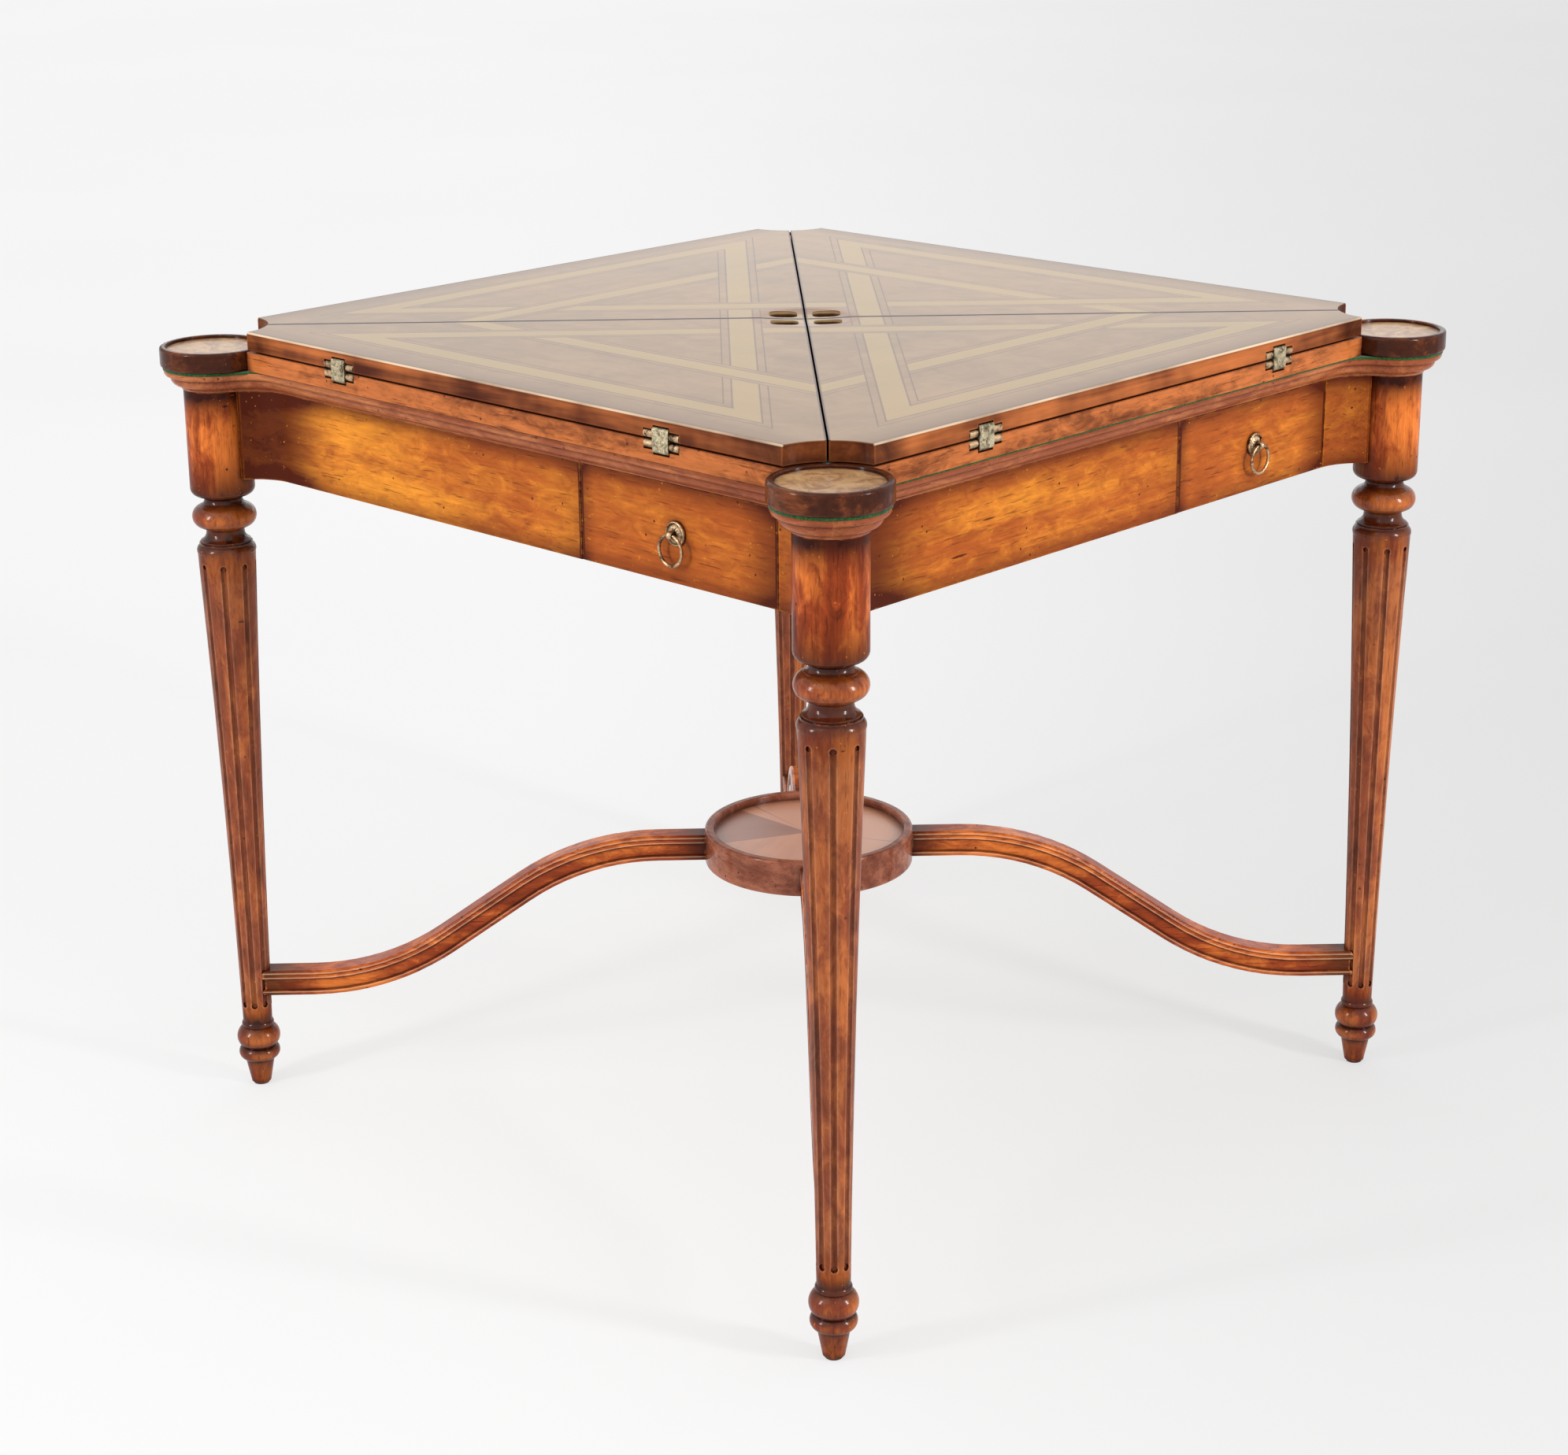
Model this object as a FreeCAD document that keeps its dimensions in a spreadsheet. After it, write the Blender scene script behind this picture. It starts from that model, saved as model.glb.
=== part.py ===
import FreeCAD, Part
import Sketcher
import math
import os
import re

# Folding game table: a square frame on turned legs, a turning board and four folding leaves.
# Own frame: origin on the floor under the middle of the table, +Z up, millimetres.
# One side (the +X side) or one corner is described, and quarter turns about Z give the rest.

# Driving sizes
SIZES = [
    ("total_height", 762.0),
    ("half", 385.0),
    ("corner_over", 1.0),
    ("leaf_thick", 17.0),
    ("leaf_gap", 1.5),
    ("board_thick", 17.5),
    ("felt_thick", 1.3),
    ("swivel_clear", 0.2),
    ("deck_thick", 19.5),
    ("apron_high", 83.5),
    ("apron_inset", 20.0),
    ("apron_thick", 18.0),
    ("cove", 50.0),
    ("cove_turn", 54.0),
    ("leg_seat_turn", 135.0),
    ("leg_radius", 30.0),
    ("deck_inset", 12.0),
    ("nose_out", 16.5),
    ("felt_out", 15.0),
    ("notch", 51.0),
    ("seam_half", 0.9),
    ("edge_ease", 0.8),
    ("edge_round", 1.2),
    ("stand_radius", 49.3),
    ("stand_rise", 1.0),
    ("stand_well", 43.3),
    ("stand_well_deep", 4.0),
    ("stand_inlay", 1.2),
    ("baize_thick", 1.0),
    ("baize_margin", 34.0),
    ("hinge_place", 203.0),
    ("pin_spread", 4.2),
    ("pin_inset", 3.2),
    ("pin_radius", 1.5),
    ("pin_clear", 0.05),
    ("barrel_radius", 3.9),
    ("barrel_long", 10.6),
    ("barrel_gap", 0.3),
    ("barrel_back", 7.7),
    ("link_half", 9.0),
    ("link_front", 4.6),
    ("link_rear", 3.0),
    ("link_reach", 6.6),
    ("link_round", 3.0),
    ("link_swing", 7.8),
    ("mortise_clear", 0.4),
    ("hollow_near", 7.0),
    ("hollow_side", 26.0),
    ("hollow_round", 8.0),
    ("hollow_deep", 11.0),
    ("dish_radius", 43.0),
    ("dish_deep", 1.6),
    ("drawer_start", 85.0),
    ("drawer_gap", 0.6),
    ("drawer_side", 10.0),
    ("drawer_clear", 60.0),
    ("drawer_inset", 9.5),
    ("drawer_lift", 8.7),
    ("drawer_wall", 66.0),
    ("drawer_floor", 4.0),
    ("floor_lift", 6.0),
    ("rail_web", 8.0),
    ("rail_lip", 14.0),
    ("rail_lip_thick", 6.0),
    ("slide_clear", 0.2),
    ("pull_up", 42.5),
    ("rosette_radius", 10.5),
    ("rosette_thick", 4.2),
    ("eye_out", 7.6),
    ("eye_radius", 3.6),
    ("eye_hole", 2.15),
    ("shank_radius", 2.0),
    ("shank_past", 7.0),
    ("nut_thick", 4.0),
    ("nut_radius", 4.6),
    ("ring_radius", 12.9),
    ("ring_wire", 1.4),
    ("flute_count", 8.0),
    ("flute_wide", 5.4),
    ("flute_deep", 2.0),
    ("flute_low", 84.0),
    ("flute_stop", 8.5),
    ("glide_high", 2.5),
    ("glide_radius", 7.5),
    ("toe_radius", 9.5),
    ("toe_top", 27.0),
    ("toe_top_radius", 14.2),
    ("foot_pinch", 41.0),
    ("foot_pinch_radius", 16.4),
    ("foot_ring_bow", 7.6),
    ("foot_bulb_top", 62.0),
    ("foot_bulb_top_radius", 14.8),
    ("foot_bulb_bow", 13.0),
    ("shaft_low", 67.5),
    ("shaft_low_radius", 14.2),
    ("shoulder_high", 8.0),
    ("shaft_top_radius", 27.0),
    ("shaft_bow", 17000.0),
    ("shaft_bands", 6.0),
    ("shoulder_gap", 13.0),
    ("shoulder_top_radius", 24.8),
    ("shoulder_bow", 6.5),
    ("neck_high", 3.5),
    ("neck_radius", 17.8),
    ("bulb_high", 21.3),
    ("bulb_edge_radius", 20.4),
    ("bulb_gap", 5.2),
    ("bulb_bow", 10.9),
    ("neck_step", 3.5),
    ("cylinder_drop", 20.0),
    ("cylinder_round", 7.5),
    ("tray_top", 261.5),
    ("tray_high", 34.5),
    ("tray_radius", 101.0),
    ("tray_rim", 8.5),
    ("tray_well", 9.5),
    ("tray_inlay", 2.0),
    ("arm_half_wide", 12.0),
    ("arm_half_high", 12.7),
    ("arm_groove", 2.0),
    ("arm_low", 109.5),
    ("arm_high", 243.8),
    ("arm_reach", 45.7),
    ("arm_ease", 0.786),
    ("arm_flat", 45.0),
    ("tenon_radius", 6.5),
    ("tenon_long", 9.0),
    ("pivot_radius", 8.0),
    ("pivot_clear", 0.06),
    ("pivot_flange", 40.0),
    ("pivot_flange_thick", 5.0),
    ("bush_wall", 5.0),
    ("washer_radius", 20.0),
    ("washer_thick", 2.5),
    ("pivot_nut_radius", 13.8),
    ("pivot_nut_thick", 10.0),
    ("stud_past", 3.0),
    ("stop_radius", 150.0),
    ("stop_turn", 45.0),
    ("peg_radius", 5.0),
    ("peg_clear", 0.3),
    ("peg_rise", 6.0),
    ("peg_sunk", 14.0),
]

# Heights and places that follow from the driving sizes
DERIVED = [
    ("corner", "half + corner_over"),
    ("apron", "half - apron_inset"),
    ("leaf_low", "total_height - leaf_thick"),
    ("board_top", "leaf_low - leaf_gap"),
    ("board_low", "board_top - board_thick"),
    ("felt_top", "board_low - swivel_clear"),
    ("deck_top", "felt_top - felt_thick"),
    ("deck_low", "deck_top - deck_thick"),
    ("apron_low", "deck_low - apron_high"),
    ("cylinder_low", "apron_low - cylinder_drop"),
    ("neck_top", "cylinder_low - neck_step"),
    ("bulb_top", "neck_top - bulb_gap"),
    ("bulb_low", "bulb_top - bulb_high"),
    ("neck_low", "bulb_low - neck_high"),
    ("shoulder_top", "neck_low - shoulder_gap"),
    ("shaft_top", "shoulder_top - shoulder_high"),
    ("flute_top", "shaft_top - flute_stop"),
    ("pull_height", "apron_low + pull_up"),
    ("hinge_mid", "board_top + leaf_gap / 2"),
    ("pin_low", "hinge_mid - pin_spread"),
    ("pin_high", "hinge_mid + pin_spread"),
    ("pin_out", "half - pin_inset"),
    ("stand_top", "board_top + stand_rise"),
    ("cove_reach", "sqrt((cove + leg_radius)^2 - (corner - apron - cove)^2)"),
    ("cove_start", "corner - cove_reach"),
    ("diagonal", "corner * sqrt(2)"),
    ("apron_back", "apron - apron_thick"),
    ("eye_place", "apron + eye_out"),
    ("arm_high_start", "tray_radius + arm_reach"),
    ("arm_low_start", "diagonal - shaft_low_radius - arm_flat"),
    ("arm_run", "arm_low_start - arm_high_start"),
    ("arm_rise", "arm_high - arm_low"),
    ("arm_slope", "2 * atan(arm_ease * arm_rise / arm_run)"),
    ("arm_bow", "(arm_run - arm_rise / tan(arm_slope)) / (2 * tan(arm_slope / 2))"),
    ("pull_place", "(drawer_start + cove_start) / 2"),
    ("box_left", "drawer_start + drawer_inset"),
    ("box_right", "cove_start - drawer_inset"),
    ("box_low", "apron_low + drawer_lift"),
    ("drawer_deep", "apron_back - drawer_clear"),
    ("box_back", "drawer_clear"),
]

doc = FreeCAD.newDocument("folding_game_table")
sheet = doc.addObject("Spreadsheet::Sheet", "Sizes")
NAMES = set(name for name, content in SIZES + DERIVED)


def tied(text):
    """Expression in which each size name points at the sheet."""
    return re.sub(r"[a-z][a-z0-9_]*", lambda m: "Sizes." + m.group(0) if m.group(0) in NAMES else m.group(0), text)


for row, (name, content) in enumerate(SIZES + DERIVED, start=1):
    sheet.set("A%d" % row, name)
    if isinstance(content, str):
        sheet.set("B%d" % row, "=" + content)
    else:
        sheet.set("B%d" % row, repr(content))
    sheet.setAlias("B%d" % row, name)
doc.recompute()


def value(text):
    """Number that a size expression stands for now."""
    found = sheet.evalExpression(tied(text))
    return float(getattr(found, "Value", found))


def drive(thing, prop, text):
    """Bind one property of a piece to the sheet."""
    thing.setExpression(prop, tied(text))


def plane(body, role):
    """Origin plane of a body by its role."""
    return [f for f in body.Origin.OriginFeatures if f.Role == role][0]


def new_body(label):
    """Empty body for one piece."""
    return doc.addObject("PartDesign::Body", label)


def new_sketch(body, label, role, lift=None):
    """Sketch on an origin plane of its own body, lifted along the plane's normal."""
    sketch = body.newObject("Sketcher::SketchObject", label)
    sketch.AttachmentSupport = [(plane(body, role), "")]
    sketch.MapMode = "FlatFace"
    if lift is not None:
        drive(sketch, "AttachmentOffset.Base.z", lift)
    return sketch


def arc_between(start, end, radius, turn):
    """Circle arc of less than half a turn from start to end, turn +1 for anticlockwise."""
    chord = end - start
    middle = (start + end) * 0.5
    height = math.sqrt(max(radius * radius - chord.Length * chord.Length / 4, 0.0))
    side = FreeCAD.Vector(-chord.y, chord.x, 0)
    side.normalize()
    centre = middle + side * (height * turn)
    first = start if turn > 0 else end
    last = end if turn > 0 else start
    from_angle = math.atan2(first.y - centre.y, first.x - centre.x)
    to_angle = math.atan2(last.y - centre.y, last.x - centre.x)
    if to_angle < from_angle:
        to_angle += 2 * math.pi
    circle = Part.Circle(centre, FreeCAD.Vector(0, 0, 1), radius)
    return Part.ArcOfCircle(circle, from_angle, to_angle)


def draw(sketch, start, segments, closed=True):
    """Lines (x, y) and arcs (x, y, radius, turn) through points given as size expressions."""
    constraints = []
    bindings = []

    def pin(geometry, end, point):
        for kind, text, axis in (("DistanceX", point[0], -2), ("DistanceY", point[1], -1)):
            if text == "0":
                constraints.append(Sketcher.Constraint("PointOnObject", geometry, end, axis))
            else:
                bindings.append((len(constraints), text))
                constraints.append(Sketcher.Constraint(kind, -1, 1, geometry, end, value(text)))

    here = start
    before = None
    first = None
    for number, segment in enumerate(segments):
        a = FreeCAD.Vector(value(here[0]), value(here[1]), 0)
        b = FreeCAD.Vector(value(segment[0]), value(segment[1]), 0)
        if len(segment) == 2:
            index = sketch.addGeometry(Part.LineSegment(a, b), False)
            near, far = 1, 2
        else:
            index = sketch.addGeometry(arc_between(a, b, value(segment[2]), segment[3]), False)
            near, far = (1, 2) if segment[3] > 0 else (2, 1)
        if before is None:
            first = (index, near)
            pin(index, near, here)
        else:
            constraints.append(Sketcher.Constraint("Coincident", before[0], before[1], index, near))
        if closed and number == len(segments) - 1:
            constraints.append(Sketcher.Constraint("Coincident", index, far, first[0], first[1]))
        else:
            pin(index, far, segment)
        if len(segment) > 2:
            bindings.append((len(constraints), segment[2]))
            constraints.append(Sketcher.Constraint("Radius", index, value(segment[2])))
        before = (index, far)
        here = segment
    offset = sketch.ConstraintCount
    sketch.addConstraint(constraints)
    for number, text in bindings:
        drive(sketch, "Constraints[%d]" % (number + offset), text)
    return sketch


def ring_line(sketch, x, y, radius):
    """Full circle in a sketch."""
    centre = FreeCAD.Vector(value(x), value(y), 0)
    index = sketch.addGeometry(Part.Circle(centre, FreeCAD.Vector(0, 0, 1), value(radius)), False)
    offset = sketch.ConstraintCount
    rules = [Sketcher.Constraint("Radius", index, value(radius))]
    texts = [(0, radius)]
    for kind, text, axis in (("DistanceX", x, -2), ("DistanceY", y, -1)):
        if text == "0":
            rules.append(Sketcher.Constraint("PointOnObject", index, 3, axis))
        else:
            texts.append((len(rules), text))
            rules.append(Sketcher.Constraint(kind, -1, 1, index, 3, value(text)))
    sketch.addConstraint(rules)
    for number, text in texts:
        drive(sketch, "Constraints[%d]" % (number + offset), text)
    return sketch


def box_line(sketch, x0, y0, x1, y1):
    """Rectangle between two corners."""
    return draw(sketch, (x0, y0), [(x1, y0), (x1, y1), (x0, y1), (x0, y0)])


def pad(body, sketch, length, label):
    """Solid raised from a sketch."""
    feature = body.newObject("PartDesign::Pad", label)
    feature.Profile = sketch
    drive(feature, "Length", length)
    sketch.Visibility = False
    return feature


def pocket(body, sketch, length, label, upward=False):
    """Hollow sunk from a sketch, downward unless told otherwise."""
    feature = body.newObject("PartDesign::Pocket", label)
    feature.Profile = sketch
    feature.Reversed = upward
    drive(feature, "Length", length)
    sketch.Visibility = False
    return feature


def turned(body, start, segments, label):
    """Solid of revolution about Z from a half section of (radius, height) points."""
    sketch = new_sketch(body, label + "_section", "XZ_Plane")
    draw(sketch, start, segments)
    feature = body.newObject("PartDesign::Revolution", label)
    feature.Profile = sketch
    feature.ReferenceAxis = (sketch, ["V_Axis"])
    feature.Angle = 360.0
    sketch.Visibility = False
    return feature


def cut_box(body, label, x0, y0, z0, x1, y1, z1):
    """Rectangular hollow between two corners."""
    feature = body.newObject("PartDesign::SubtractiveBox", label)
    for prop, low, high in (("Length", x0, x1), ("Width", y0, y1), ("Height", z0, z1)):
        drive(feature, prop, "(%s) - (%s)" % (high, low))
    for axis, low in (("x", x0), ("y", y0), ("z", z0)):
        drive(feature, "Placement.Base." + axis, low)
    return feature


def cut_rod(body, label, x, y, z, radius, length, axis=None, degrees=0.0):
    """Round hole from a point, along Z or turned about an axis."""
    feature = body.newObject("PartDesign::SubtractiveCylinder", label)
    drive(feature, "Radius", radius)
    drive(feature, "Height", length)
    if axis is not None:
        feature.Placement = FreeCAD.Placement(FreeCAD.Vector(), FreeCAD.Rotation(axis, degrees))
    for name, text in (("x", x), ("y", y), ("z", z)):
        drive(feature, "Placement.Base." + name, text)
    return feature


def quarter_pattern(body, features, label, count=4):
    """The same features repeated round Z."""
    pattern = body.newObject("PartDesign::PolarPattern", label)
    pattern.Originals = features
    axis = [f for f in body.Origin.OriginFeatures if f.Role == "Z_Axis"][0]
    pattern.Axis = (axis, [""])
    pattern.Angle = 360.0
    pattern.Occurrences = count
    body.Tip = pattern
    return pattern


def edges_where(feature, test):
    """Names of the edges of a feature whose middle and ends all pass a test."""
    names = []
    for number, edge in enumerate(feature.Shape.Edges, start=1):
        points = [edge.valueAt(edge.FirstParameter), edge.valueAt(edge.LastParameter)]
        points.append(edge.valueAt((edge.FirstParameter + edge.LastParameter) / 2))
        if all(test(p) for p in points):
            names.append("Edge%d" % number)
    return names


def soften(body, feature, test, kind, amount, label):
    """Fillet or chamfer on the edges that pass a test."""
    doc.recompute()
    names = edges_where(feature, test)
    if not names:
        raise RuntimeError("no edge found for " + label)
    easing = body.newObject("PartDesign::" + kind, label)
    easing.Base = (feature, names)
    drive(easing, "Radius" if kind == "Fillet" else "Size", amount)
    return easing


def near(a, b):
    """Two lengths that agree to a thousandth."""
    return abs(a - b) < 1e-3


X_AXIS = FreeCAD.Vector(1, 0, 0)
Y_AXIS = FreeCAD.Vector(0, 1, 0)
Z_AXIS = FreeCAD.Vector(0, 0, 1)


def quarter(number, extra=0.0):
    """Placement of side or corner number 0 to 3, turned about Z."""
    return FreeCAD.Placement(FreeCAD.Vector(), FreeCAD.Rotation(Z_AXIS, 90.0 * number + extra))


def group(label, members):
    """Several separate solids kept together under one name."""
    bundle = doc.addObject("Part::Compound", label)
    bundle.Links = members
    return bundle


def block(label, x0, y0, z0, x1, y1, z1):
    """Plain box between two corners."""
    solid = doc.addObject("Part::Box", label)
    for prop, low, high in (("Length", x0, x1), ("Width", y0, y1), ("Height", z0, z1)):
        drive(solid, prop, "(%s) - (%s)" % (high, low))
    for axis, low in (("x", x0), ("y", y0), ("z", z0)):
        drive(solid, "Placement.Base." + axis, low)
    return solid


NODES = []


def keep(thing, label):
    """Mark a finished sub-part under its own name."""
    thing.Label = label
    NODES.append(thing)
    return thing


# Plan outline of the frame, offset outward from the frieze face
def side_points(out):
    """Outline of one side from corner to corner, as (x, y) expressions and arcs."""
    cove_radius = "(cove - (%s))" % out
    leg = "(leg_radius + (%s))" % out
    face = "(apron + (%s))" % out
    touch_x = "(corner + %s * (apron + cove - corner) / (cove + leg_radius))" % leg
    touch_y = "(corner - %s * cove_reach / (cove + leg_radius))" % leg
    tip = "(corner + %s / sqrt(2))" % leg
    return cove_radius, leg, face, touch_x, touch_y, tip


def turn_point(x, y, number):
    """A plan point carried round by quarter turns."""
    if number == 0:
        return x, y
    if number == 1:
        return "-(%s)" % y, x
    if number == 2:
        return "-(%s)" % x, "-(%s)" % y
    return y, "-(%s)" % x


def frame_outline(out):
    """Closed frame outline: straight faces, hollow coves and round corners."""
    cove_radius, leg, face, touch_x, touch_y, tip = side_points(out)
    segments = []
    start = turn_point(tip, "-(%s)" % tip, 0)
    for number in range(4):
        segments.append(turn_point(touch_x, "-(%s)" % touch_y, number) + (leg, 1))
        segments.append(turn_point(face, "-cove_start", number) + (cove_radius, -1))
        segments.append(turn_point(face, "cove_start", number))
        segments.append(turn_point(touch_x, touch_y, number) + (cove_radius, -1))
        segments.append(turn_point(tip, tip, number) + (leg, 1))
    return start, segments


# Radius of the slightly hollow leg shaft at a height
SHAFT = "(shaft_low_radius + (%s - shaft_low) * (shaft_top_radius - shaft_low_radius)"
SHAFT += " / (shaft_top - shaft_low) - (%s - shaft_low) * (shaft_top - %s) / (2 * shaft_bow))"


def shaft_bands():
    """Points of the shaft's hollow line, as the ends of short tapered bands."""
    count = int(value("shaft_bands"))
    points = []
    for step in range(1, count):
        height = "(shaft_low + (shaft_top - shaft_low) * %d / %d)" % (step, count)
        points.append((SHAFT.replace("%s", height), height))
    points.append(("shaft_top_radius", "shaft_top"))
    return points


# Legs: turned blank with round-ended flutes
def make_leg(number):
    body = new_body("leg_%d" % (number + 1))
    section = [
        ("toe_radius", "glide_high"),
        ("toe_top_radius", "toe_top"),
        ("foot_pinch_radius - 1.2", "toe_top + 0.4"),
        ("foot_pinch_radius", "foot_pinch", "foot_ring_bow", 1),
        ("foot_bulb_top_radius", "foot_bulb_top", "foot_bulb_bow", 1),
        ("foot_bulb_top_radius", "shaft_low - 0.5", "(shaft_low - foot_bulb_top) * 0.75", 1),
        ("shaft_low_radius", "shaft_low"),
    ] + shaft_bands() + [
        ("shoulder_top_radius", "shoulder_top", "shoulder_bow", 1),
        ("shoulder_top_radius", "shoulder_top + 2"),
        ("shoulder_top_radius - 1.5", "shoulder_top + 2"),
        ("shoulder_top_radius - 1.5", "shoulder_top + 4"),
        ("neck_radius", "neck_low", "(neck_low - shoulder_top) * 0.72", -1),
        ("neck_radius", "neck_low + 1.2"),
        ("bulb_edge_radius", "bulb_low"),
        ("bulb_edge_radius + 1.6", "bulb_top", "bulb_bow", 1),
        ("bulb_edge_radius + 0.9", "bulb_top + 0.6"),
        ("neck_radius", "neck_top", "(neck_top - bulb_top) * 1.05", -1),
        ("neck_radius", "neck_top + 1.2"),
        ("neck_radius + 2", "cylinder_low"),
        ("leg_radius - cylinder_round * 0.75", "cylinder_low + 1.2"),
        ("leg_radius", "cylinder_low + 1.2 + cylinder_round", "cylinder_round", 1),
        ("leg_radius", "deck_low"),
        ("0", "deck_low"),
        ("0", "glide_high"),
    ]
    blank = turned(body, ("0", "glide_high"), section, "leg_blank")
    body.Tip = blank
    # One flute: a round cutter carried along the hollow line of the shaft, with round ends bored square to it
    cutter = "((flute_wide^2 / 4 + flute_deep^2) / (2 * flute_deep))"
    shaft = "(" + SHAFT + " + " + cutter + " - flute_deep)"
    low = "(flute_low + %s)" % cutter
    top = "(flute_top - %s)" % cutter
    low_radius = shaft.replace("%s", low)
    top_radius = shaft.replace("%s", top)
    path = new_sketch(body, "flute_line", "XZ_Plane")
    draw(path, (low_radius, low), [(top_radius, top, "shaft_bow", -1)], closed=False)
    ring = new_sketch(body, "flute_round", "XY_Plane", low)
    ring_line(ring, low_radius, "0", cutter)
    flute = body.newObject("PartDesign::SubtractivePipe", "flute")
    flute.Profile = ring
    flute.Spine = (path, ["Edge1"])
    count = int(value("flute_count"))
    quarter_pattern(body, [flute], "flutes", count)
    for label, height in (("flute_end_low", low), ("flute_end_top", top)):
        end = cut_rod(body, label, "0", "0", height, "flute_wide / 2 + 0.2", "flute_deep + 5",
                      FreeCAD.Vector(0, 1, 0), 90.0)
        drive(end, "Placement.Base.x", SHAFT.replace("%s", height) + " - flute_deep - 0.2")
        body.Tip = end
        quarter_pattern(body, [end], label + "s", count)
    # Round socket for the tenon of the stretcher arm, on the inner diagonal
    socket = cut_rod(body, "arm_socket", "0", "0", "arm_low", "tenon_radius",
                     "shaft_low_radius + 10", FreeCAD.Vector(0, 1, 0), -90.0)
    drive(socket, "Placement.Base.x", "-(leg_seat - tenon_long)".replace("leg_seat", LEG_SEAT))
    body.Tip = socket
    body.Placement = quarter(number, 45.0)
    drive(body, "Placement.Base.x", turn_point("corner", "corner", number)[0])
    drive(body, "Placement.Base.y", turn_point("corner", "corner", number)[1])
    return body


# Radius of the leg shaft where the stretcher arm meets it
LEG_SEAT = "(" + SHAFT.replace("%s", "arm_low") + " + 0.1)"

for corner_number in range(4):
    keep(make_leg(corner_number), "leg_%d" % (corner_number + 1))

# Glides under the toes
glides = []
for corner_number in range(4):
    glide = doc.addObject("Part::Cylinder", "glide_%d" % (corner_number + 1))
    drive(glide, "Radius", "glide_radius")
    drive(glide, "Height", "glide_high")
    drive(glide, "Placement.Base.x", turn_point("corner", "corner", corner_number)[0])
    drive(glide, "Placement.Base.y", turn_point("corner", "corner", corner_number)[1])
    glides.append(glide)
keep(group("foot_glides", glides), "foot_glides")


# Frieze panels with the left cove, and the stiles with the right cove
def cove_end(sign):
    """Points where the cove stops short of the leg and where the piece sits on the leg."""
    stop_x = "(apron + cove - cove * cos(cove_turn * 1 deg))"
    stop_y = "(cove_start + cove * sin(cove_turn * 1 deg))"
    span = "sqrt((corner - %s)^2 + (corner - %s)^2)" % (stop_x, stop_y)
    seat_x = "(corner - leg_radius * (corner - %s) / %s)" % (stop_x, span)
    seat_y = "(corner - leg_radius * (corner - %s) / %s)" % (stop_y, span)
    back = "(corner + leg_radius * cos(leg_seat_turn * 1 deg))"
    points = [(stop_x, stop_y), (seat_x, seat_y), (back, back)]
    if sign < 0:
        points = [(x, "-(%s)" % y) for x, y in points]
    return points


def make_panel(number):
    body = new_body("frieze_panel_%d" % (number + 1))
    sketch = new_sketch(body, "panel_plan", "XY_Plane", "apron_low")
    stop, seat, back = cove_end(-1)
    draw(sketch, ("apron", "drawer_start"), [
        ("apron_back", "drawer_start"),
        ("apron_back", "-apron_back"),
        back,
        seat + ("leg_radius", -1),
        stop,
        ("apron", "-cove_start", "cove", -1),
        ("apron", "drawer_start"),
    ])
    body.Tip = pad(body, sketch, "apron_high", "panel")
    body.Placement = quarter(number)
    return body


def make_stile(number):
    body = new_body("cove_stile_%d" % (number + 1))
    sketch = new_sketch(body, "stile_plan", "XY_Plane", "apron_low")
    stop, seat, back = cove_end(1)
    draw(sketch, ("apron_back", "cove_start"), [
        ("apron", "cove_start"),
        stop + ("cove", -1),
        seat,
        back + ("leg_radius", -1),
        ("apron_back", "apron_back"),
        ("apron_back", "cove_start"),
    ])
    body.Tip = pad(body, sketch, "apron_high", "stile")
    body.Placement = quarter(number)
    return body


for side in range(4):
    keep(make_panel(side), "frieze_panel_%d" % (side + 1))
keep(group("cove_stiles", [make_stile(side) for side in range(4)]), "cove_stiles")


# Frame moulding: one length per side, mitred on the diagonals of the legs
def skew(x, y):
    """Plan point in axes turned so that the near corner lies on the first axis."""
    return "((%s) - (%s)) / sqrt(2)" % (x, y), "((%s) + (%s)) / sqrt(2)" % (x, y)


def make_moulding(number):
    body = new_body("moulding_%d" % (number + 1))
    cove_radius, leg, face, touch_x, touch_y, tip = side_points("0")
    path = new_sketch(body, "moulding_path", "XY_Plane", "deck_low")
    draw(path, ("diagonal + leg_radius", "0"), [
        skew(touch_x, "-(%s)" % touch_y) + ("leg_radius", 1),
        skew("apron", "-cove_start") + ("cove", -1),
        skew("apron", "cove_start"),
        skew(touch_x, touch_y) + ("cove", -1),
        ("0", "diagonal + leg_radius", "leg_radius", 1),
    ], closed=False)
    section = new_sketch(body, "moulding_section", "XZ_Plane")
    root = "(diagonal + leg_radius)"
    draw(section, (root + " - deck_inset", "deck_low"), [
        (root + " + 1", "deck_low"),
        (root + " + 3", "deck_low + 2.2", "2.6", -1),
        (root + " + 3", "deck_low + 3.2"),
        (root + " + 11", "deck_low + 11", "8.2", 1),
        (root + " + 11", "deck_low + 12.5"),
        (root + " + 12.5", "deck_low + 12.5"),
        (root + " + nose_out", "deck_low + 16.5", "4", 1),
        (root + " + nose_out", "deck_top"),
        (root + " - deck_inset", "deck_top"),
        (root + " - deck_inset", "deck_low"),
    ])
    sweep = body.newObject("PartDesign::AdditivePipe", "moulding")
    sweep.Profile = section
    sweep.Spine = (path, ["Edge%d" % (edge + 1) for edge in range(5)])
    body.Tip = sweep
    body.Placement = quarter(number, -45.0)
    return body


keep(group("frame_moulding", [make_moulding(side) for side in range(4)]), "frame_moulding")

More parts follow.
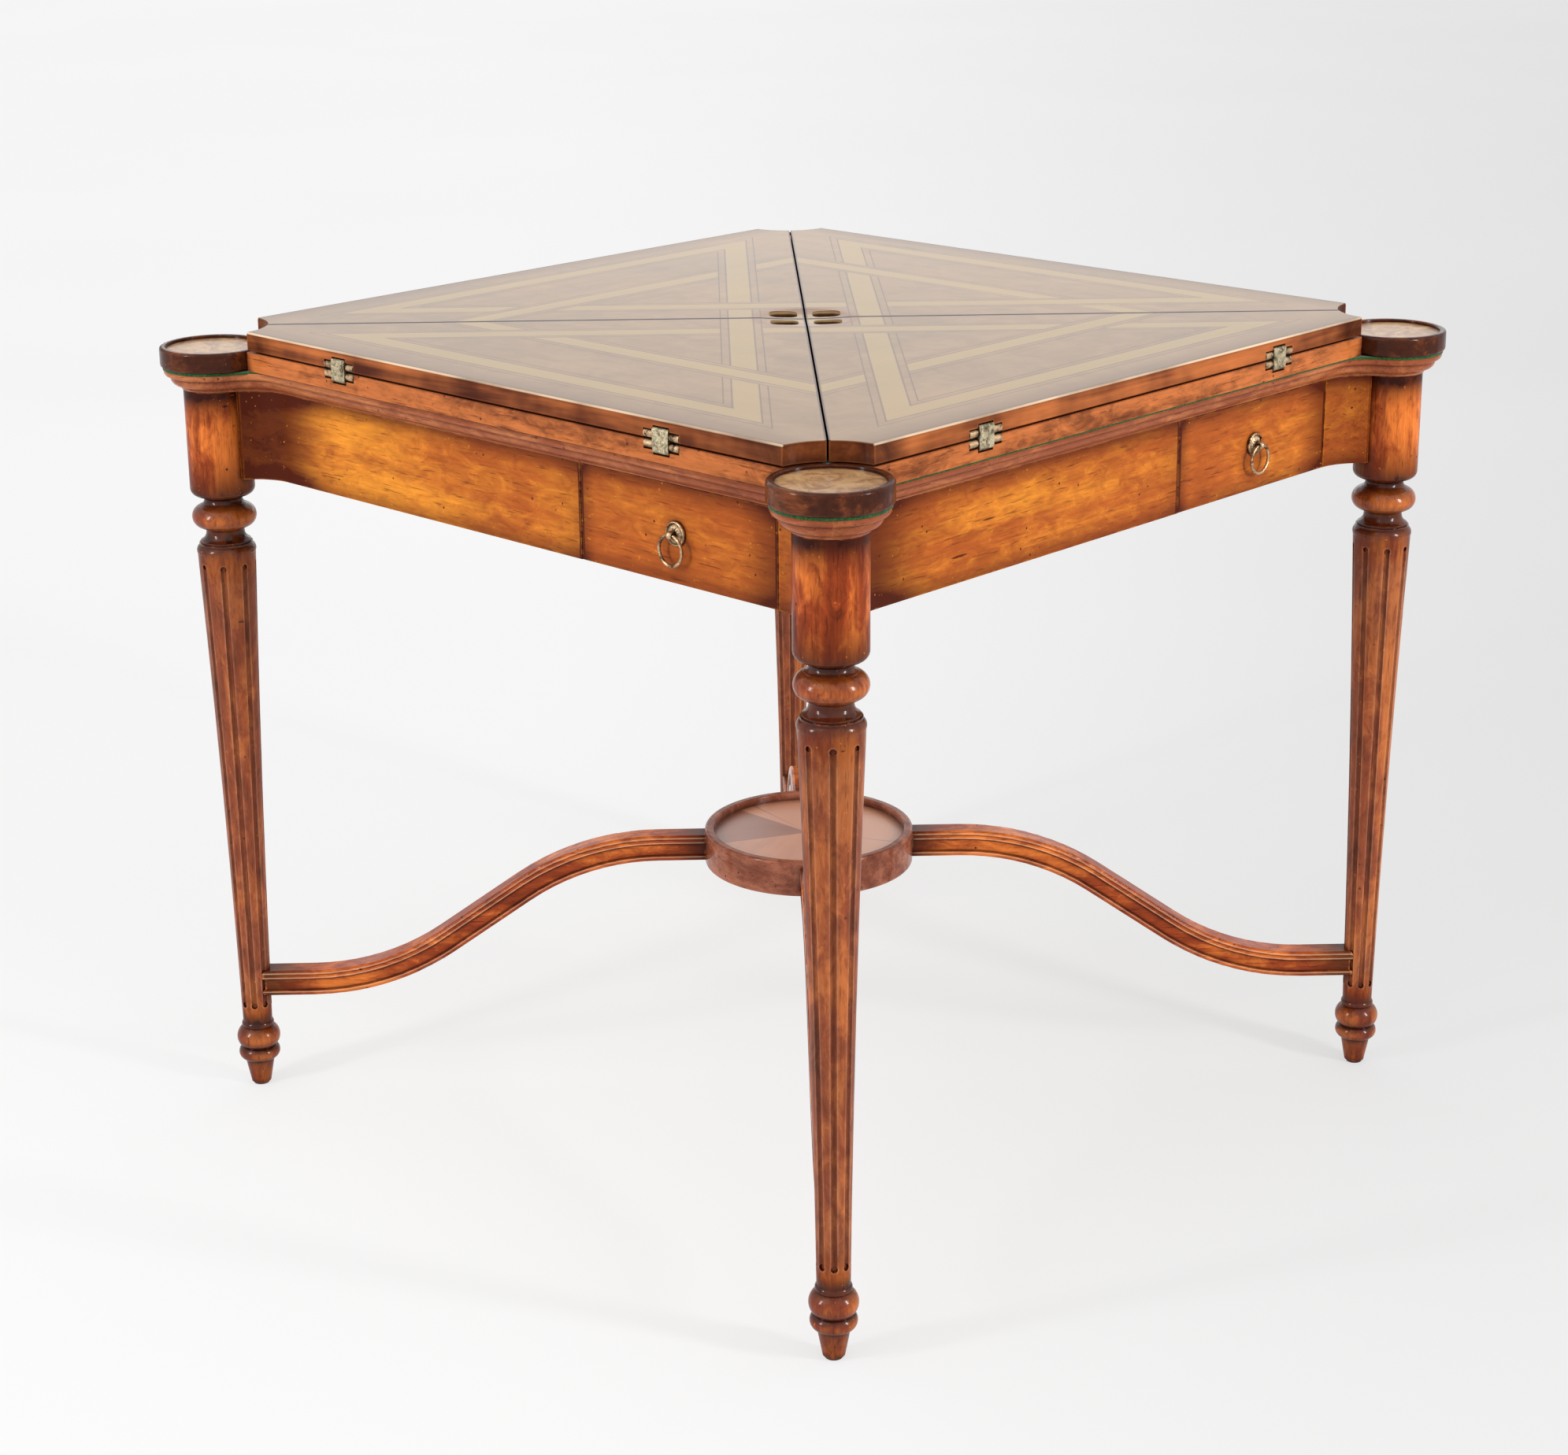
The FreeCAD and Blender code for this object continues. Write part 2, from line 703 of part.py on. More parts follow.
# Deck board that ties the legs and carries the pivot
deck = new_body("deck_board")
deck_plan = new_sketch(deck, "deck_plan", "XY_Plane", "deck_low")
deck_start, deck_segments = frame_outline("-deck_inset")
draw(deck_plan, deck_start, deck_segments)
ring_line(deck_plan, "0", "0", "pivot_radius + pivot_clear + bush_wall")
pad(deck, deck_plan, "deck_thick", "deck")
deck.Tip = cut_rod(deck, "peg_hole", "-stop_radius", "0", "deck_top - peg_sunk", "peg_radius", "peg_sunk + 1")
keep(deck, "deck_board")

# Felt that the board turns on
felt = new_body("frame_felt")
felt_plan = new_sketch(felt, "felt_plan", "XY_Plane", "deck_top")
felt_start, felt_segments = frame_outline("felt_out")
draw(felt_plan, felt_start, felt_segments)
ring_line(felt_plan, "0", "0", "pivot_radius + pivot_clear + bush_wall + 2")
pad(felt, felt_plan, "felt_thick", "felt")
felt.Tip = cut_rod(felt, "peg_gap", "-stop_radius", "0", "deck_top - 1", "peg_radius + peg_clear", "felt_thick + 2")
keep(felt, "frame_felt")

# Pivot: bush in the deck, plate with stud under the board, washer and nut below the deck
bush = new_body("pivot_bush")
bush_plan = new_sketch(bush, "bush_plan", "XY_Plane", "deck_low")
ring_line(bush_plan, "0", "0", "pivot_radius + pivot_clear + bush_wall")
ring_line(bush_plan, "0", "0", "pivot_radius + pivot_clear")
bush.Tip = pad(bush, bush_plan, "deck_thick", "bush")
keep(bush, "pivot_bush")

pivot = new_body("pivot_plate")
STUD_END = "(deck_low - swivel_clear - washer_thick - pivot_nut_thick - stud_past)"
pivot.Tip = turned(pivot, ("0", STUD_END), [
    ("pivot_radius - 1", STUD_END),
    ("pivot_radius", STUD_END + " + 1"),
    ("pivot_radius", "board_low"),
    ("pivot_flange", "board_low"),
    ("pivot_flange", "board_low + pivot_flange_thick"),
    ("0", "board_low + pivot_flange_thick"),
    ("0", STUD_END),
], "plate")
keep(pivot, "pivot_plate")

washer = new_body("pivot_washer")
washer_plan = new_sketch(washer, "washer_plan", "XY_Plane", "deck_low - swivel_clear - washer_thick")
ring_line(washer_plan, "0", "0", "washer_radius")
ring_line(washer_plan, "0", "0", "pivot_radius")
washer.Tip = pad(washer, washer_plan, "washer_thick", "washer")
keep(washer, "pivot_washer")


def hex_nut(label, across, thick, bore, place):
    """Six-sided nut with its bore along Z, set down at a place."""
    nut = doc.addObject("Part::Prism", label + "_blank")
    nut.Polygon = 6
    drive(nut, "Circumradius", across)
    drive(nut, "Height", thick)
    hole = doc.addObject("Part::Cylinder", label + "_bore")
    drive(hole, "Radius", bore)
    drive(hole, "Height", "(%s) + 2" % thick)
    drive(hole, "Placement.Base.z", "-1")
    cut = doc.addObject("Part::Cut", label)
    cut.Base = nut
    cut.Tool = hole
    for axis, text in zip("xyz", place):
        drive(cut, "Placement.Base." + axis, text)
    return cut


keep(hex_nut("pivot_nut", "pivot_nut_radius", "pivot_nut_thick", "pivot_radius",
             ("0", "0", "deck_low - swivel_clear - washer_thick - pivot_nut_thick")), "pivot_nut")

# Stop peg for the eighth turn of the board
peg = doc.addObject("Part::Cylinder", "stop_peg")
drive(peg, "Radius", "peg_radius")
drive(peg, "Height", "peg_sunk + felt_thick + swivel_clear + peg_rise")
drive(peg, "Placement.Base.x", "-stop_radius")
drive(peg, "Placement.Base.z", "deck_top - peg_sunk")
keep(peg, "stop_peg")


# Hinge hollows in the edge of the board or of a leaf
def hinge_hollows(body, low, high, link_low, link_high, name):
    """Two wide hollows for the barrels and two deeper ones for the swinging link."""
    features = []
    span = "(link_half + barrel_gap + barrel_long + mortise_clear)"
    for tag, place in (("a", "-hinge_place"), ("b", "hinge_place")):
        features.append(cut_box(body, "%s_barrels_%s" % (name, tag), "half - barrel_back", "%s - %s" % (place, span),
                                low, "half + 1", "%s + %s" % (place, span), high))
        features.append(cut_box(body, "%s_link_%s" % (name, tag), "pin_out - link_swing",
                                "%s - link_half - mortise_clear" % place, link_low, "half + 1",
                                "%s + link_half + mortise_clear" % place, link_high))
    return features


# Turning board
board = new_body("top_board")
board_plan = new_sketch(board, "board_plan", "XY_Plane", "board_low")
BITE = "(corner - sqrt(stand_radius^2 - (corner - half)^2))"
board_segments = []
for side in range(4):
    board_segments.append(turn_point("half", BITE, side))
    board_segments.append(turn_point(BITE, "half", side) + ("stand_radius", -1))
draw(board_plan, turn_point("half", "-(%s)" % BITE, 0), board_segments[:-1] + [
    turn_point("half", "-(%s)" % BITE, 0) + ("stand_radius", -1)])
board_pad = pad(board, board_plan, "board_thick", "board")
board_ease = soften(board, board_pad, lambda p: near(p.z, value("board_top")) and
                    (near(abs(p.x), value("half")) or near(abs(p.y), value("half"))), "Chamfer", "edge_ease", "ease")
field_plan = new_sketch(board, "field_plan", "XY_Plane", "board_top")
box_line(field_plan, "-(half - baize_margin)", "-(half - baize_margin)", "half - baize_margin", "half - baize_margin")
board_field = pocket(board, field_plan, "baize_thick", "field")
plate_plan = new_sketch(board, "plate_plan", "XY_Plane", "board_low")
ring_line(plate_plan, "0", "0", "pivot_flange")
pocket(board, plate_plan, "pivot_flange_thick", "plate_recess", upward=True)
stop_plan = new_sketch(board, "stop_plan", "XY_Plane", "board_low")
GROOVE = "(peg_radius + peg_clear)"


def polar(radius, degrees):
    """Plan point at a distance and a turn from the middle."""
    return "(%s) * cos((%s) * 1 deg)" % (radius, degrees), "(%s) * sin((%s) * 1 deg)" % (radius, degrees)


STOP_A = "(180 - stop_turn)"
STOP_B = "180"
draw(stop_plan, polar("stop_radius + " + GROOVE, STOP_A), [
    polar("stop_radius + " + GROOVE, STOP_B) + ("stop_radius + " + GROOVE, 1),
    polar("stop_radius - " + GROOVE, STOP_B) + (GROOVE + " * 1.0001", 1),
    polar("stop_radius - " + GROOVE, STOP_A) + ("stop_radius - " + GROOVE, -1),
    polar("stop_radius + " + GROOVE, STOP_A) + (GROOVE + " * 1.0001", 1),
])
pocket(board, stop_plan, "peg_rise + 1.5", "stop_groove", upward=True)
board_hollows = hinge_hollows(board, "pin_low - barrel_radius - mortise_clear", "board_top + 1",
                              "pin_low - link_swing", "board_top + 1", "board")
quarter_pattern(board, board_hollows, "board_hollows")
keep(board, "top_board")

# Baize playing field of the board
baize = new_body("board_baize")
baize_plan = new_sketch(baize, "baize_plan", "XY_Plane", "board_top - baize_thick")
box_line(baize_plan, "-(half - baize_margin)", "-(half - baize_margin)", "half - baize_margin", "half - baize_margin")
baize.Tip = pad(baize, baize_plan, "baize_thick", "baize")
keep(baize, "board_baize")


# Round corner stands with a sunk inlay
def make_stand(number):
    body = new_body("corner_stand_%d" % (number + 1))
    body.Tip = turned(body, ("0", "board_low"), [
        ("stand_radius - 2", "board_low"),
        ("stand_radius", "board_low + 2.5", "3", 1),
        ("stand_radius", "stand_top - 2.5"),
        ("stand_radius - 2.5", "stand_top", "2.5", 1),
        ("stand_well + 1", "stand_top"),
        ("stand_well", "stand_top - 1", "1", 1),
        ("stand_well", "stand_top - stand_well_deep"),
        ("0", "stand_top - stand_well_deep"),
        ("0", "board_low"),
    ], "stand")
    body.Placement = quarter(number)
    drive(body, "Placement.Base.x", turn_point("corner", "corner", number)[0])
    drive(body, "Placement.Base.y", turn_point("corner", "corner", number)[1])
    return body


keep(group("corner_stands", [make_stand(number) for number in range(4)]), "corner_stands")
inlays = []
for corner_number in range(4):
    inlay = doc.addObject("Part::Cylinder", "stand_inlay_%d" % (corner_number + 1))
    drive(inlay, "Radius", "stand_well")
    drive(inlay, "Height", "stand_inlay")
    drive(inlay, "Placement.Base.x", turn_point("corner", "corner", corner_number)[0])
    drive(inlay, "Placement.Base.y", turn_point("corner", "corner", corner_number)[1])
    drive(inlay, "Placement.Base.z", "stand_top - stand_well_deep")
    inlays.append(inlay)
keep(group("stand_inlays", inlays), "stand_inlays")


# Folding leaves
def make_leaf(number):
    body = new_body("leaf_%d" % (number + 1))
    plan = new_sketch(body, "leaf_plan", "XY_Plane", "leaf_low")
    run = "sqrt(notch^2 - seam_half^2)"
    seam_x = "(corner + (seam_half - %s) / sqrt(2))" % run
    seam_y = "(corner - (seam_half + %s) / sqrt(2))" % run
    edge_y = "(corner - sqrt(notch^2 - (corner - half)^2))"
    draw(plan, ("seam_half * sqrt(2)", "0"), [
        (seam_x, "-(%s)" % seam_y),
        ("half", "-(%s)" % edge_y, "notch", -1),
        ("half", edge_y),
        (seam_x, seam_y, "notch", -1),
        ("seam_half * sqrt(2)", "0"),
    ])
    slab = pad(body, plan, "leaf_thick", "leaf")
    ease = soften(body, slab, lambda p: near(p.z, value("leaf_low")) and near(p.x, value("half")),
                  "Chamfer", "edge_ease", "ease")
    soften(body, ease, lambda p: near(p.z, value("total_height")) and near(p.x, value("half")),
           "Fillet", "edge_round", "round_over")
    dish = body.newObject("PartDesign::SubtractiveSphere", "dish")
    bowl = "((dish_radius^2 + dish_deep^2) / (2 * dish_deep))"
    drive(dish, "Radius", bowl)
    drive(dish, "Placement.Base.z", "total_height - dish_deep + " + bowl)
    # Finger hollow: a round-cornered square set along the two seams
    hollow = new_sketch(body, "hollow_plan", "XY_Plane", "total_height")

    def along(u, v):
        return "((%s) + (%s)) / sqrt(2)" % (u, v), "((%s) - (%s)) / sqrt(2)" % (v, u)

    a = "hollow_near"
    b = "(hollow_near + hollow_side)"
    r = "hollow_round"
    draw(hollow, along(a + " + " + r, a), [
        along(b + " - " + r, a),
        along(b, a + " + " + r) + (r, 1),
        along(b, b + " - " + r),
        along(b + " - " + r, b) + (r, 1),
        along(a + " + " + r, b),
        along(a, b + " - " + r) + (r, 1),
        along(a, a + " + " + r),
        along(a + " + " + r, a) + (r, 1),
    ])
    pocket(body, hollow, "hollow_deep", "finger_hollow")
    under = new_sketch(body, "under_plan", "XY_Plane", "leaf_low")
    leaf_field(under)
    pocket(body, under, "baize_thick", "under_field", upward=True)
    hinge_hollows(body, "leaf_low - 1", "pin_high + barrel_radius + mortise_clear",
                  "leaf_low - 1", "pin_high + link_swing", "leaf")
    body.Placement = quarter(number)
    return body


def leaf_field(sketch):
    """Triangle of the playing field inside the margins of a leaf."""
    far = "(half - baize_margin)"
    tip = "(baize_margin * sqrt(2) * 0.4)"
    reach = "(%s - %s)" % (far, tip)
    return draw(sketch, (tip, "0"), [(far, "-(%s)" % reach), (far, reach), (tip, "0")])


def make_leaf_baize(number):
    body = new_body("leaf_baize_%d" % (number + 1))
    plan = new_sketch(body, "leaf_baize_plan", "XY_Plane", "leaf_low")
    leaf_field(plan)
    body.Tip = pad(body, plan, "baize_thick", "leaf_baize")
    body.Placement = quarter(number)
    return body


# Hinge barrels: a drilled knuckle with a square back let into the wood
def make_barrel(label, side, place, height):
    body = new_body(label)
    sketch = new_sketch(body, label + "_section", "XZ_Plane")
    back = "(half - barrel_back)"
    ends = ("%s - barrel_radius" % height, "%s + barrel_radius" % height)
    draw(sketch, ("pin_out", ends[0]), [
        ("pin_out + barrel_radius", height, "barrel_radius", 1),
        ("pin_out", ends[1], "barrel_radius", 1),
        (back, ends[1]),
        (back, ends[0]),
        ("pin_out", ends[0]),
    ])
    ring_line(sketch, "pin_out", height, "pin_radius + pin_clear")
    drive(sketch, "AttachmentOffset.Base.z", "-(%s)" % place)
    feature = pad(body, sketch, "barrel_long", label + "_pad")
    feature.Reversed = True
    body.Tip = feature
    body.Placement = quarter(side)
    return body


def barrel_set(name, side, height):
    """Four barrels of one side: two on either side of each link."""
    made = []
    for tag, place in (("a", "-hinge_place"), ("b", "hinge_place")):
        left = "%s - link_half - barrel_gap - barrel_long" % place
        right = "%s + link_half + barrel_gap" % place
        made.append(make_barrel("%s_%s_left_%d" % (name, tag, side + 1), side, left, height))
        made.append(make_barrel("%s_%s_right_%d" % (name, tag, side + 1), side, right, height))
    return made


# Hinge links: a plate round both pins, and the pins themselves
def make_link(label, side, place):
    body = new_body(label)
    sketch = new_sketch(body, label + "_section", "XZ_Plane")
    front = "(pin_out + link_front)"
    rear = "(pin_out - link_rear)"
    low = "(pin_low - link_reach)"
    high = "(pin_high + link_reach)"
    r = "link_round"
    draw(sketch, (rear + " + 1", low), [
        (front + " - " + r, low),
        (front, low + " + " + r, r, 1),
        (front, high + " - " + r),
        (front + " - " + r, high, r, 1),
        (rear + " + 1", high),
        (rear, high + " - 1", "1", 1),
        (rear, low + " + 1"),
        (rear + " + 1", low, "1", 1),
    ])
    ring_line(sketch, "pin_out", "pin_low", "pin_radius")
    ring_line(sketch, "pin_out", "pin_high", "pin_radius")
    drive(sketch, "AttachmentOffset.Base.z", "-(%s - link_half)" % place)
    feature = pad(body, sketch, "link_half * 2", label + "_pad")
    feature.Reversed = True
    body.Tip = feature
    body.Placement = quarter(side)
    return body


def make_pin(label, side, place, height):
    """Hinge pin along the edge of the table."""
    pin = doc.addObject("Part::Cylinder", label)
    drive(pin, "Radius", "pin_radius")
    drive(pin, "Height", "2 * (link_half + barrel_gap + barrel_long)")
    start = "%s - link_half - barrel_gap - barrel_long" % place
    turn = FreeCAD.Rotation(Z_AXIS, 90.0 * side).multiply(FreeCAD.Rotation(X_AXIS, -90.0))
    pin.Placement = FreeCAD.Placement(FreeCAD.Vector(), turn)
    x, y = turn_point("pin_out", start, side)
    drive(pin, "Placement.Base.x", x)
    drive(pin, "Placement.Base.y", y)
    drive(pin, "Placement.Base.z", height)
    return pin


board_barrels = []
for side in range(4):
    board_barrels += barrel_set("board_barrel", side, "pin_low")
keep(group("board_hinge_barrels", board_barrels), "board_hinge_barrels")
for side in range(4):
    tail = "_%d" % (side + 1)
    keep(make_leaf(side), "leaf" + tail)
    keep(make_leaf_baize(side), "leaf_baize" + tail)
    keep(group("leaf_hinge_barrels" + tail, barrel_set("leaf_barrel", side, "pin_high")), "leaf_hinge_barrels" + tail)
    links = []
    for tag, place in (("a", "-hinge_place"), ("b", "hinge_place")):
        links.append(make_link("link_%s%s" % (tag, tail), side, place))
        links.append(make_pin("pin_low_%s%s" % (tag, tail), side, place, "pin_low"))
        links.append(make_pin("pin_high_%s%s" % (tag, tail), side, place, "pin_high"))
    keep(group("hinge_links" + tail, links), "hinge_links" + tail)


# Drawers
def make_front(number):
    body = new_body("drawer_front_%d" % (number + 1))
    plan = new_sketch(body, "front_plan", "XY_Plane", "apron_low")
    box_line(plan, "apron_back", "drawer_start + drawer_gap", "apron", "cove_start - drawer_gap")
    slab = pad(body, plan, "apron_high - drawer_gap", "front")
    soften(body, slab, lambda p: near(p.x, value("apron")), "Fillet", "edge_ease", "front_round")
    body.Tip = cut_rod(body, "shank_hole", "apron_back - 1", "pull_place", "pull_height", "shank_radius",
                       "apron_thick + 2", Y_AXIS, 90.0)
    body.Placement = quarter(number)
    return body


def make_box(number):
    """Two sides, back and bottom of a drawer, as separate boards."""
    tail = "_%d" % (number + 1)
    top = "box_low + drawer_wall"
    inner_left = "box_left + drawer_side"
    inner_right = "box_right - drawer_side"
    boards = [
        block("drawer_left" + tail, "box_back", "box_left", "box_low", "apron_back", inner_left, top),
        block("drawer_right" + tail, "box_back", inner_right, "box_low", "apron_back", "box_right", top),
        block("drawer_back" + tail, "box_back", inner_left, "box_low", "box_back + drawer_side", inner_right, top),
        block("drawer_bottom" + tail, "box_back + drawer_side", inner_left, "box_low + floor_lift", "apron_back",
              inner_right, "box_low + floor_lift + drawer_floor"),
    ]
    made = group("drawer_box" + tail, boards)
    made.Placement = quarter(number)
    return made


def make_rosette(number):
    """Turned and fluted rosette with its eye, its shank through the drawer front and the nut behind."""
    tail = "_%d" % (number + 1)
    body = new_body("rosette_body" + tail)
    rim = "rosette_radius"
    neck = "(eye_radius * 0.6)"
    turned(body, ("0", "-(apron_thick + shank_past)"), [
        ("shank_radius", "-(apron_thick + shank_past)"),
        ("shank_radius", "0"),
        (rim, "0"),
        (rim, "rosette_thick * 0.35"),
        (rim + " - 1.4", "rosette_thick * 0.72", "1.5", 1),
        (rim + " - 2.2", "rosette_thick * 0.5"),
        (rim + " - 6.2", "rosette_thick", "9", 1),
        (neck, "rosette_thick"),
        (neck, "eye_out - sqrt(eye_radius^2 - %s^2)" % neck),
        ("eye_radius", "eye_out", "eye_radius", 1),
        ("0", "eye_out + eye_radius", "eye_radius", 1),
        ("0", "-(apron_thick + shank_past)"),
    ], "rosette")
    groove = cut_rod(body, "ray", rim + " - 6.6", "0", "rosette_thick + 0.35", "0.75", "4.6", Y_AXIS, 101.0)
    quarter_pattern(body, [groove], "rays", 14)
    body.Tip = cut_rod(body, "eye_hole", "0", "-(eye_radius + 1)", "eye_out", "eye_hole", "2 * eye_radius + 2",
                       X_AXIS, -90.0)
    place(body, number, "apron")
    nut = hex_nut("rosette_nut" + tail, "nut_radius", "nut_thick", "shank_radius", ("0", "0", "0"))
    place(nut, number, "apron_back - nut_thick")
    return group("pull_rosette" + tail, [body, nut])


def place(thing, number, out):
    """Turn a piece made along Z so that it points out of its face, at the middle of the drawer."""
    turn = FreeCAD.Rotation(Z_AXIS, 90.0 * number).multiply(FreeCAD.Rotation(Y_AXIS, 90.0))
    thing.Placement = FreeCAD.Placement(FreeCAD.Vector(), turn)
    x, y = turn_point(out, "pull_place", number)
    drive(thing, "Placement.Base.x", x)
    drive(thing, "Placement.Base.y", y)
    drive(thing, "Placement.Base.z", "pull_height")


def make_ring(number):
    """Hanging ring through the eye."""
    ring = doc.addObject("Part::Torus", "pull_ring_%d" % (number + 1))
    drive(ring, "Radius1", "ring_radius")
    drive(ring, "Radius2", "ring_wire")
    place(ring, number, "eye_place")
    drive(ring, "Placement.Base.z", "pull_height - ring_radius")
    return ring


def make_rails(number):
    """Two L-shaped runner rails hung from the deck beside a drawer."""
    made = []
    lip_top = "box_low - slide_clear"
    lip_low = lip_top + " - rail_lip_thick"
    for tag, outer, inner, tip in (("left", "box_left - slide_clear - rail_web", "box_left - slide_clear",
                                    "box_left - slide_clear - rail_web + rail_lip"),
                                   ("right", "box_right + slide_clear + rail_web", "box_right + slide_clear",
                                    "box_right + slide_clear + rail_web - rail_lip")):
        body = new_body("rail_%s_%d" % (tag, number + 1))
        section = new_sketch(body, "rail_section", "YZ_Plane", "box_back")
        draw(section, (outer, lip_low), [
            (tip, lip_low),
            (tip, lip_top),
            (inner, lip_top),
            (inner, "deck_low"),
            (outer, "deck_low"),
            (outer, lip_low),
        ])
        body.Tip = pad(body, section, "drawer_deep - slide_clear", "rail")
        body.Placement = quarter(number)
        made.append(body)
    return made


rails = []
for side in range(4):
    rails += make_rails(side)
keep(group("drawer_rails", rails), "drawer_rails")
for side in range(4):
    tail = "_%d" % (side + 1)
    keep(make_front(side), "drawer_front" + tail)
    keep(make_box(side), "drawer_box" + tail)
    keep(make_rosette(side), "pull_rosette" + tail)
    keep(make_ring(side), "pull_ring" + tail)

# Stretcher tray
tray = new_body("stretcher_tray")
TRAY_LOW = "(tray_top - tray_high)"
turned(tray, ("0", TRAY_LOW), [
    ("tray_radius - 2", TRAY_LOW),
    ("tray_radius", TRAY_LOW + " + 2", "2", 1),
    ("tray_radius", "tray_top - 2.5"),
    ("tray_radius - 2.5", "tray_top", "2.5", 1),
    ("tray_radius - tray_rim + 1.5", "tray_top"),
    ("tray_radius - tray_rim", "tray_top - 1.5", "1.5", 1),
    ("tray_radius - tray_rim", "tray_top - tray_well"),
    ("0", "tray_top - tray_well"),
    ("0", TRAY_LOW),
], "tray")
sockets = cut_rod(tray, "arm_socket", "tray_radius - tenon_long", "0", "arm_high", "tenon_radius", "tenon_long + 2",
                  Y_AXIS, 90.0)
quarter_pattern(tray, [sockets], "arm_sockets")
tray.Placement = quarter(0, 45.0)
keep(tray, "stretcher_tray")
tray_floor = doc.addObject("Part::Cylinder", "tray_inlay")
drive(tray_floor, "Radius", "tray_radius - tray_rim")
drive(tray_floor, "Height", "tray_inlay")
drive(tray_floor, "Placement.Base.z", "tray_top - tray_well")
keep(tray_floor, "tray_inlay")


# Stretcher arms: beaded section carried along an S-curve, seated on leg and tray
def make_arm(number):
    body = new_body("stretcher_arm_%d" % (number + 1))
    start_out = "(tray_radius - 6)"
    leg_out = "(diagonal - shaft_low_radius + 6)"
    bow_rise = "(arm_bow * (1 - cos(arm_slope)))"
    bow_run = "(arm_bow * sin(arm_slope))"
    path = new_sketch(body, "arm_path", "XZ_Plane")
    draw(path, (start_out, "arm_high"), [
        ("arm_high_start", "arm_high"),
        ("arm_high_start + " + bow_run, "arm_high - " + bow_rise, "arm_bow", -1),
        ("arm_low_start - " + bow_run, "arm_low + " + bow_rise),
        ("arm_low_start", "arm_low", "arm_bow", 1),
        (leg_out, "arm_low"),
    ], closed=False)
    section = new_sketch(body, "arm_section", "YZ_Plane", start_out)
    w = "arm_half_wide"
    g = "(arm_half_wide - arm_groove)"
    top = "(arm_high + arm_half_high)"
    low = "(arm_high - arm_half_high)"
    draw(section, ("-(%s - 2.5)" % w, low), [
        ("%s - 2.5" % w, low),
        (w, low + " + 2.5", "2.5", 1),
        (w, low + " + 5"),
        (g, low + " + 6.2"),
        (g, top + " - 9"),
        (w, top + " - 7.8"),
        (w, top + " - 3"),
        ("%s - 3" % w, top, "3", 1),
        ("-(%s - 3)" % w, top),
        ("-%s" % w, top + " - 3", "3", 1),
        ("-%s" % w, top + " - 7.8"),
        ("-%s" % g, top + " - 9"),
        ("-%s" % g, low + " + 6.2"),
        ("-%s" % w, low + " + 5"),
        ("-%s" % w, low + " + 2.5"),
        ("-(%s - 2.5)" % w, low, "2.5", 1),
    ])
    sweep = body.newObject("PartDesign::AdditivePipe", "arm")
    sweep.Profile = section
    sweep.Spine = (path, ["Edge%d" % (edge + 1) for edge in range(5)])
    cut_rod(body, "tray_seat", "0", "0", "arm_high - 60", "tray_radius", "120")
    cut_rod(body, "leg_seat", "diagonal", "0", "arm_low - 60", LEG_SEAT, "120")
    for label, x, height in (("tray_tenon", "tray_radius - tenon_long", "arm_high"),
                             ("leg_tenon", "diagonal - %s - 8" % LEG_SEAT, "arm_low")):
        tenon = body.newObject("PartDesign::AdditiveCylinder", label)
        drive(tenon, "Radius", "tenon_radius")
        drive(tenon, "Height", "tenon_long + 8")
        tenon.Placement = FreeCAD.Placement(FreeCAD.Vector(), FreeCAD.Rotation(Y_AXIS, 90.0))
        drive(tenon, "Placement.Base.x", x)
        drive(tenon, "Placement.Base.z", height)
        body.Tip = tenon
    body.Placement = quarter(number, 45.0)
    return body


keep(group("stretcher_arms", [make_arm(number) for number in range(4)]), "stretcher_arms")

doc.recompute()
for thing in doc.Objects:
    if "Invalid" in thing.State or "Error" in thing.State:
        raise RuntimeError("%s (%s) did not build: %s" % (thing.Name, thing.Label, thing.State))
os.makedirs("parts", exist_ok=True)
for node in NODES:
    if node.Shape.isNull() or not node.Shape.isValid():
        raise RuntimeError("%s has no sound shape" % node.Label)
    node.Shape.exportStep("parts/%s.step" % node.Label)
print("nodes", len(NODES))
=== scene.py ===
import math

import bmesh
import bpy
from bpy.props import FloatProperty, FloatVectorProperty, PointerProperty
from mathutils import Matrix, Vector, noise


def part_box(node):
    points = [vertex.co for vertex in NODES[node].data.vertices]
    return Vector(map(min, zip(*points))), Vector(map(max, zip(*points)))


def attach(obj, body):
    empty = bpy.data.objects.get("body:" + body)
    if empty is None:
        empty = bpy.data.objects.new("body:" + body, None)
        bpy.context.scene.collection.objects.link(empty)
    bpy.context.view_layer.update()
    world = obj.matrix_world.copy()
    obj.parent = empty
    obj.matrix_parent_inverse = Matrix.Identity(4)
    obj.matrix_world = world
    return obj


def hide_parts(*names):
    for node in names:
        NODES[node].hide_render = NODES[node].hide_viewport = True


bl_info = {
    "name": "Folding Game Table",
    "version": (1, 0, 0),
    "blender": (4, 5, 0),
    "location": "View3D > Sidebar > Table",
    "description": "Finishes, cloth and stage for a folding game table",
    "category": "Object",
}

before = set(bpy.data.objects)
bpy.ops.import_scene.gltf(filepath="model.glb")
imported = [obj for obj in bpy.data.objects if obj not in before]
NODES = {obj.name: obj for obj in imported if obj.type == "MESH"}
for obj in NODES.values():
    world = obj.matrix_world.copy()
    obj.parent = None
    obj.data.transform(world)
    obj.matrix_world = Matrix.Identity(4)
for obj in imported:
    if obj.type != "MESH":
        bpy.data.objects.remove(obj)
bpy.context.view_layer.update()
SIDES = (1, 2, 3, 4)
MM = 0.001
ROOT_HALF = math.sqrt(0.5)
TURN = 2 * math.pi
TOUCH = 1e-6

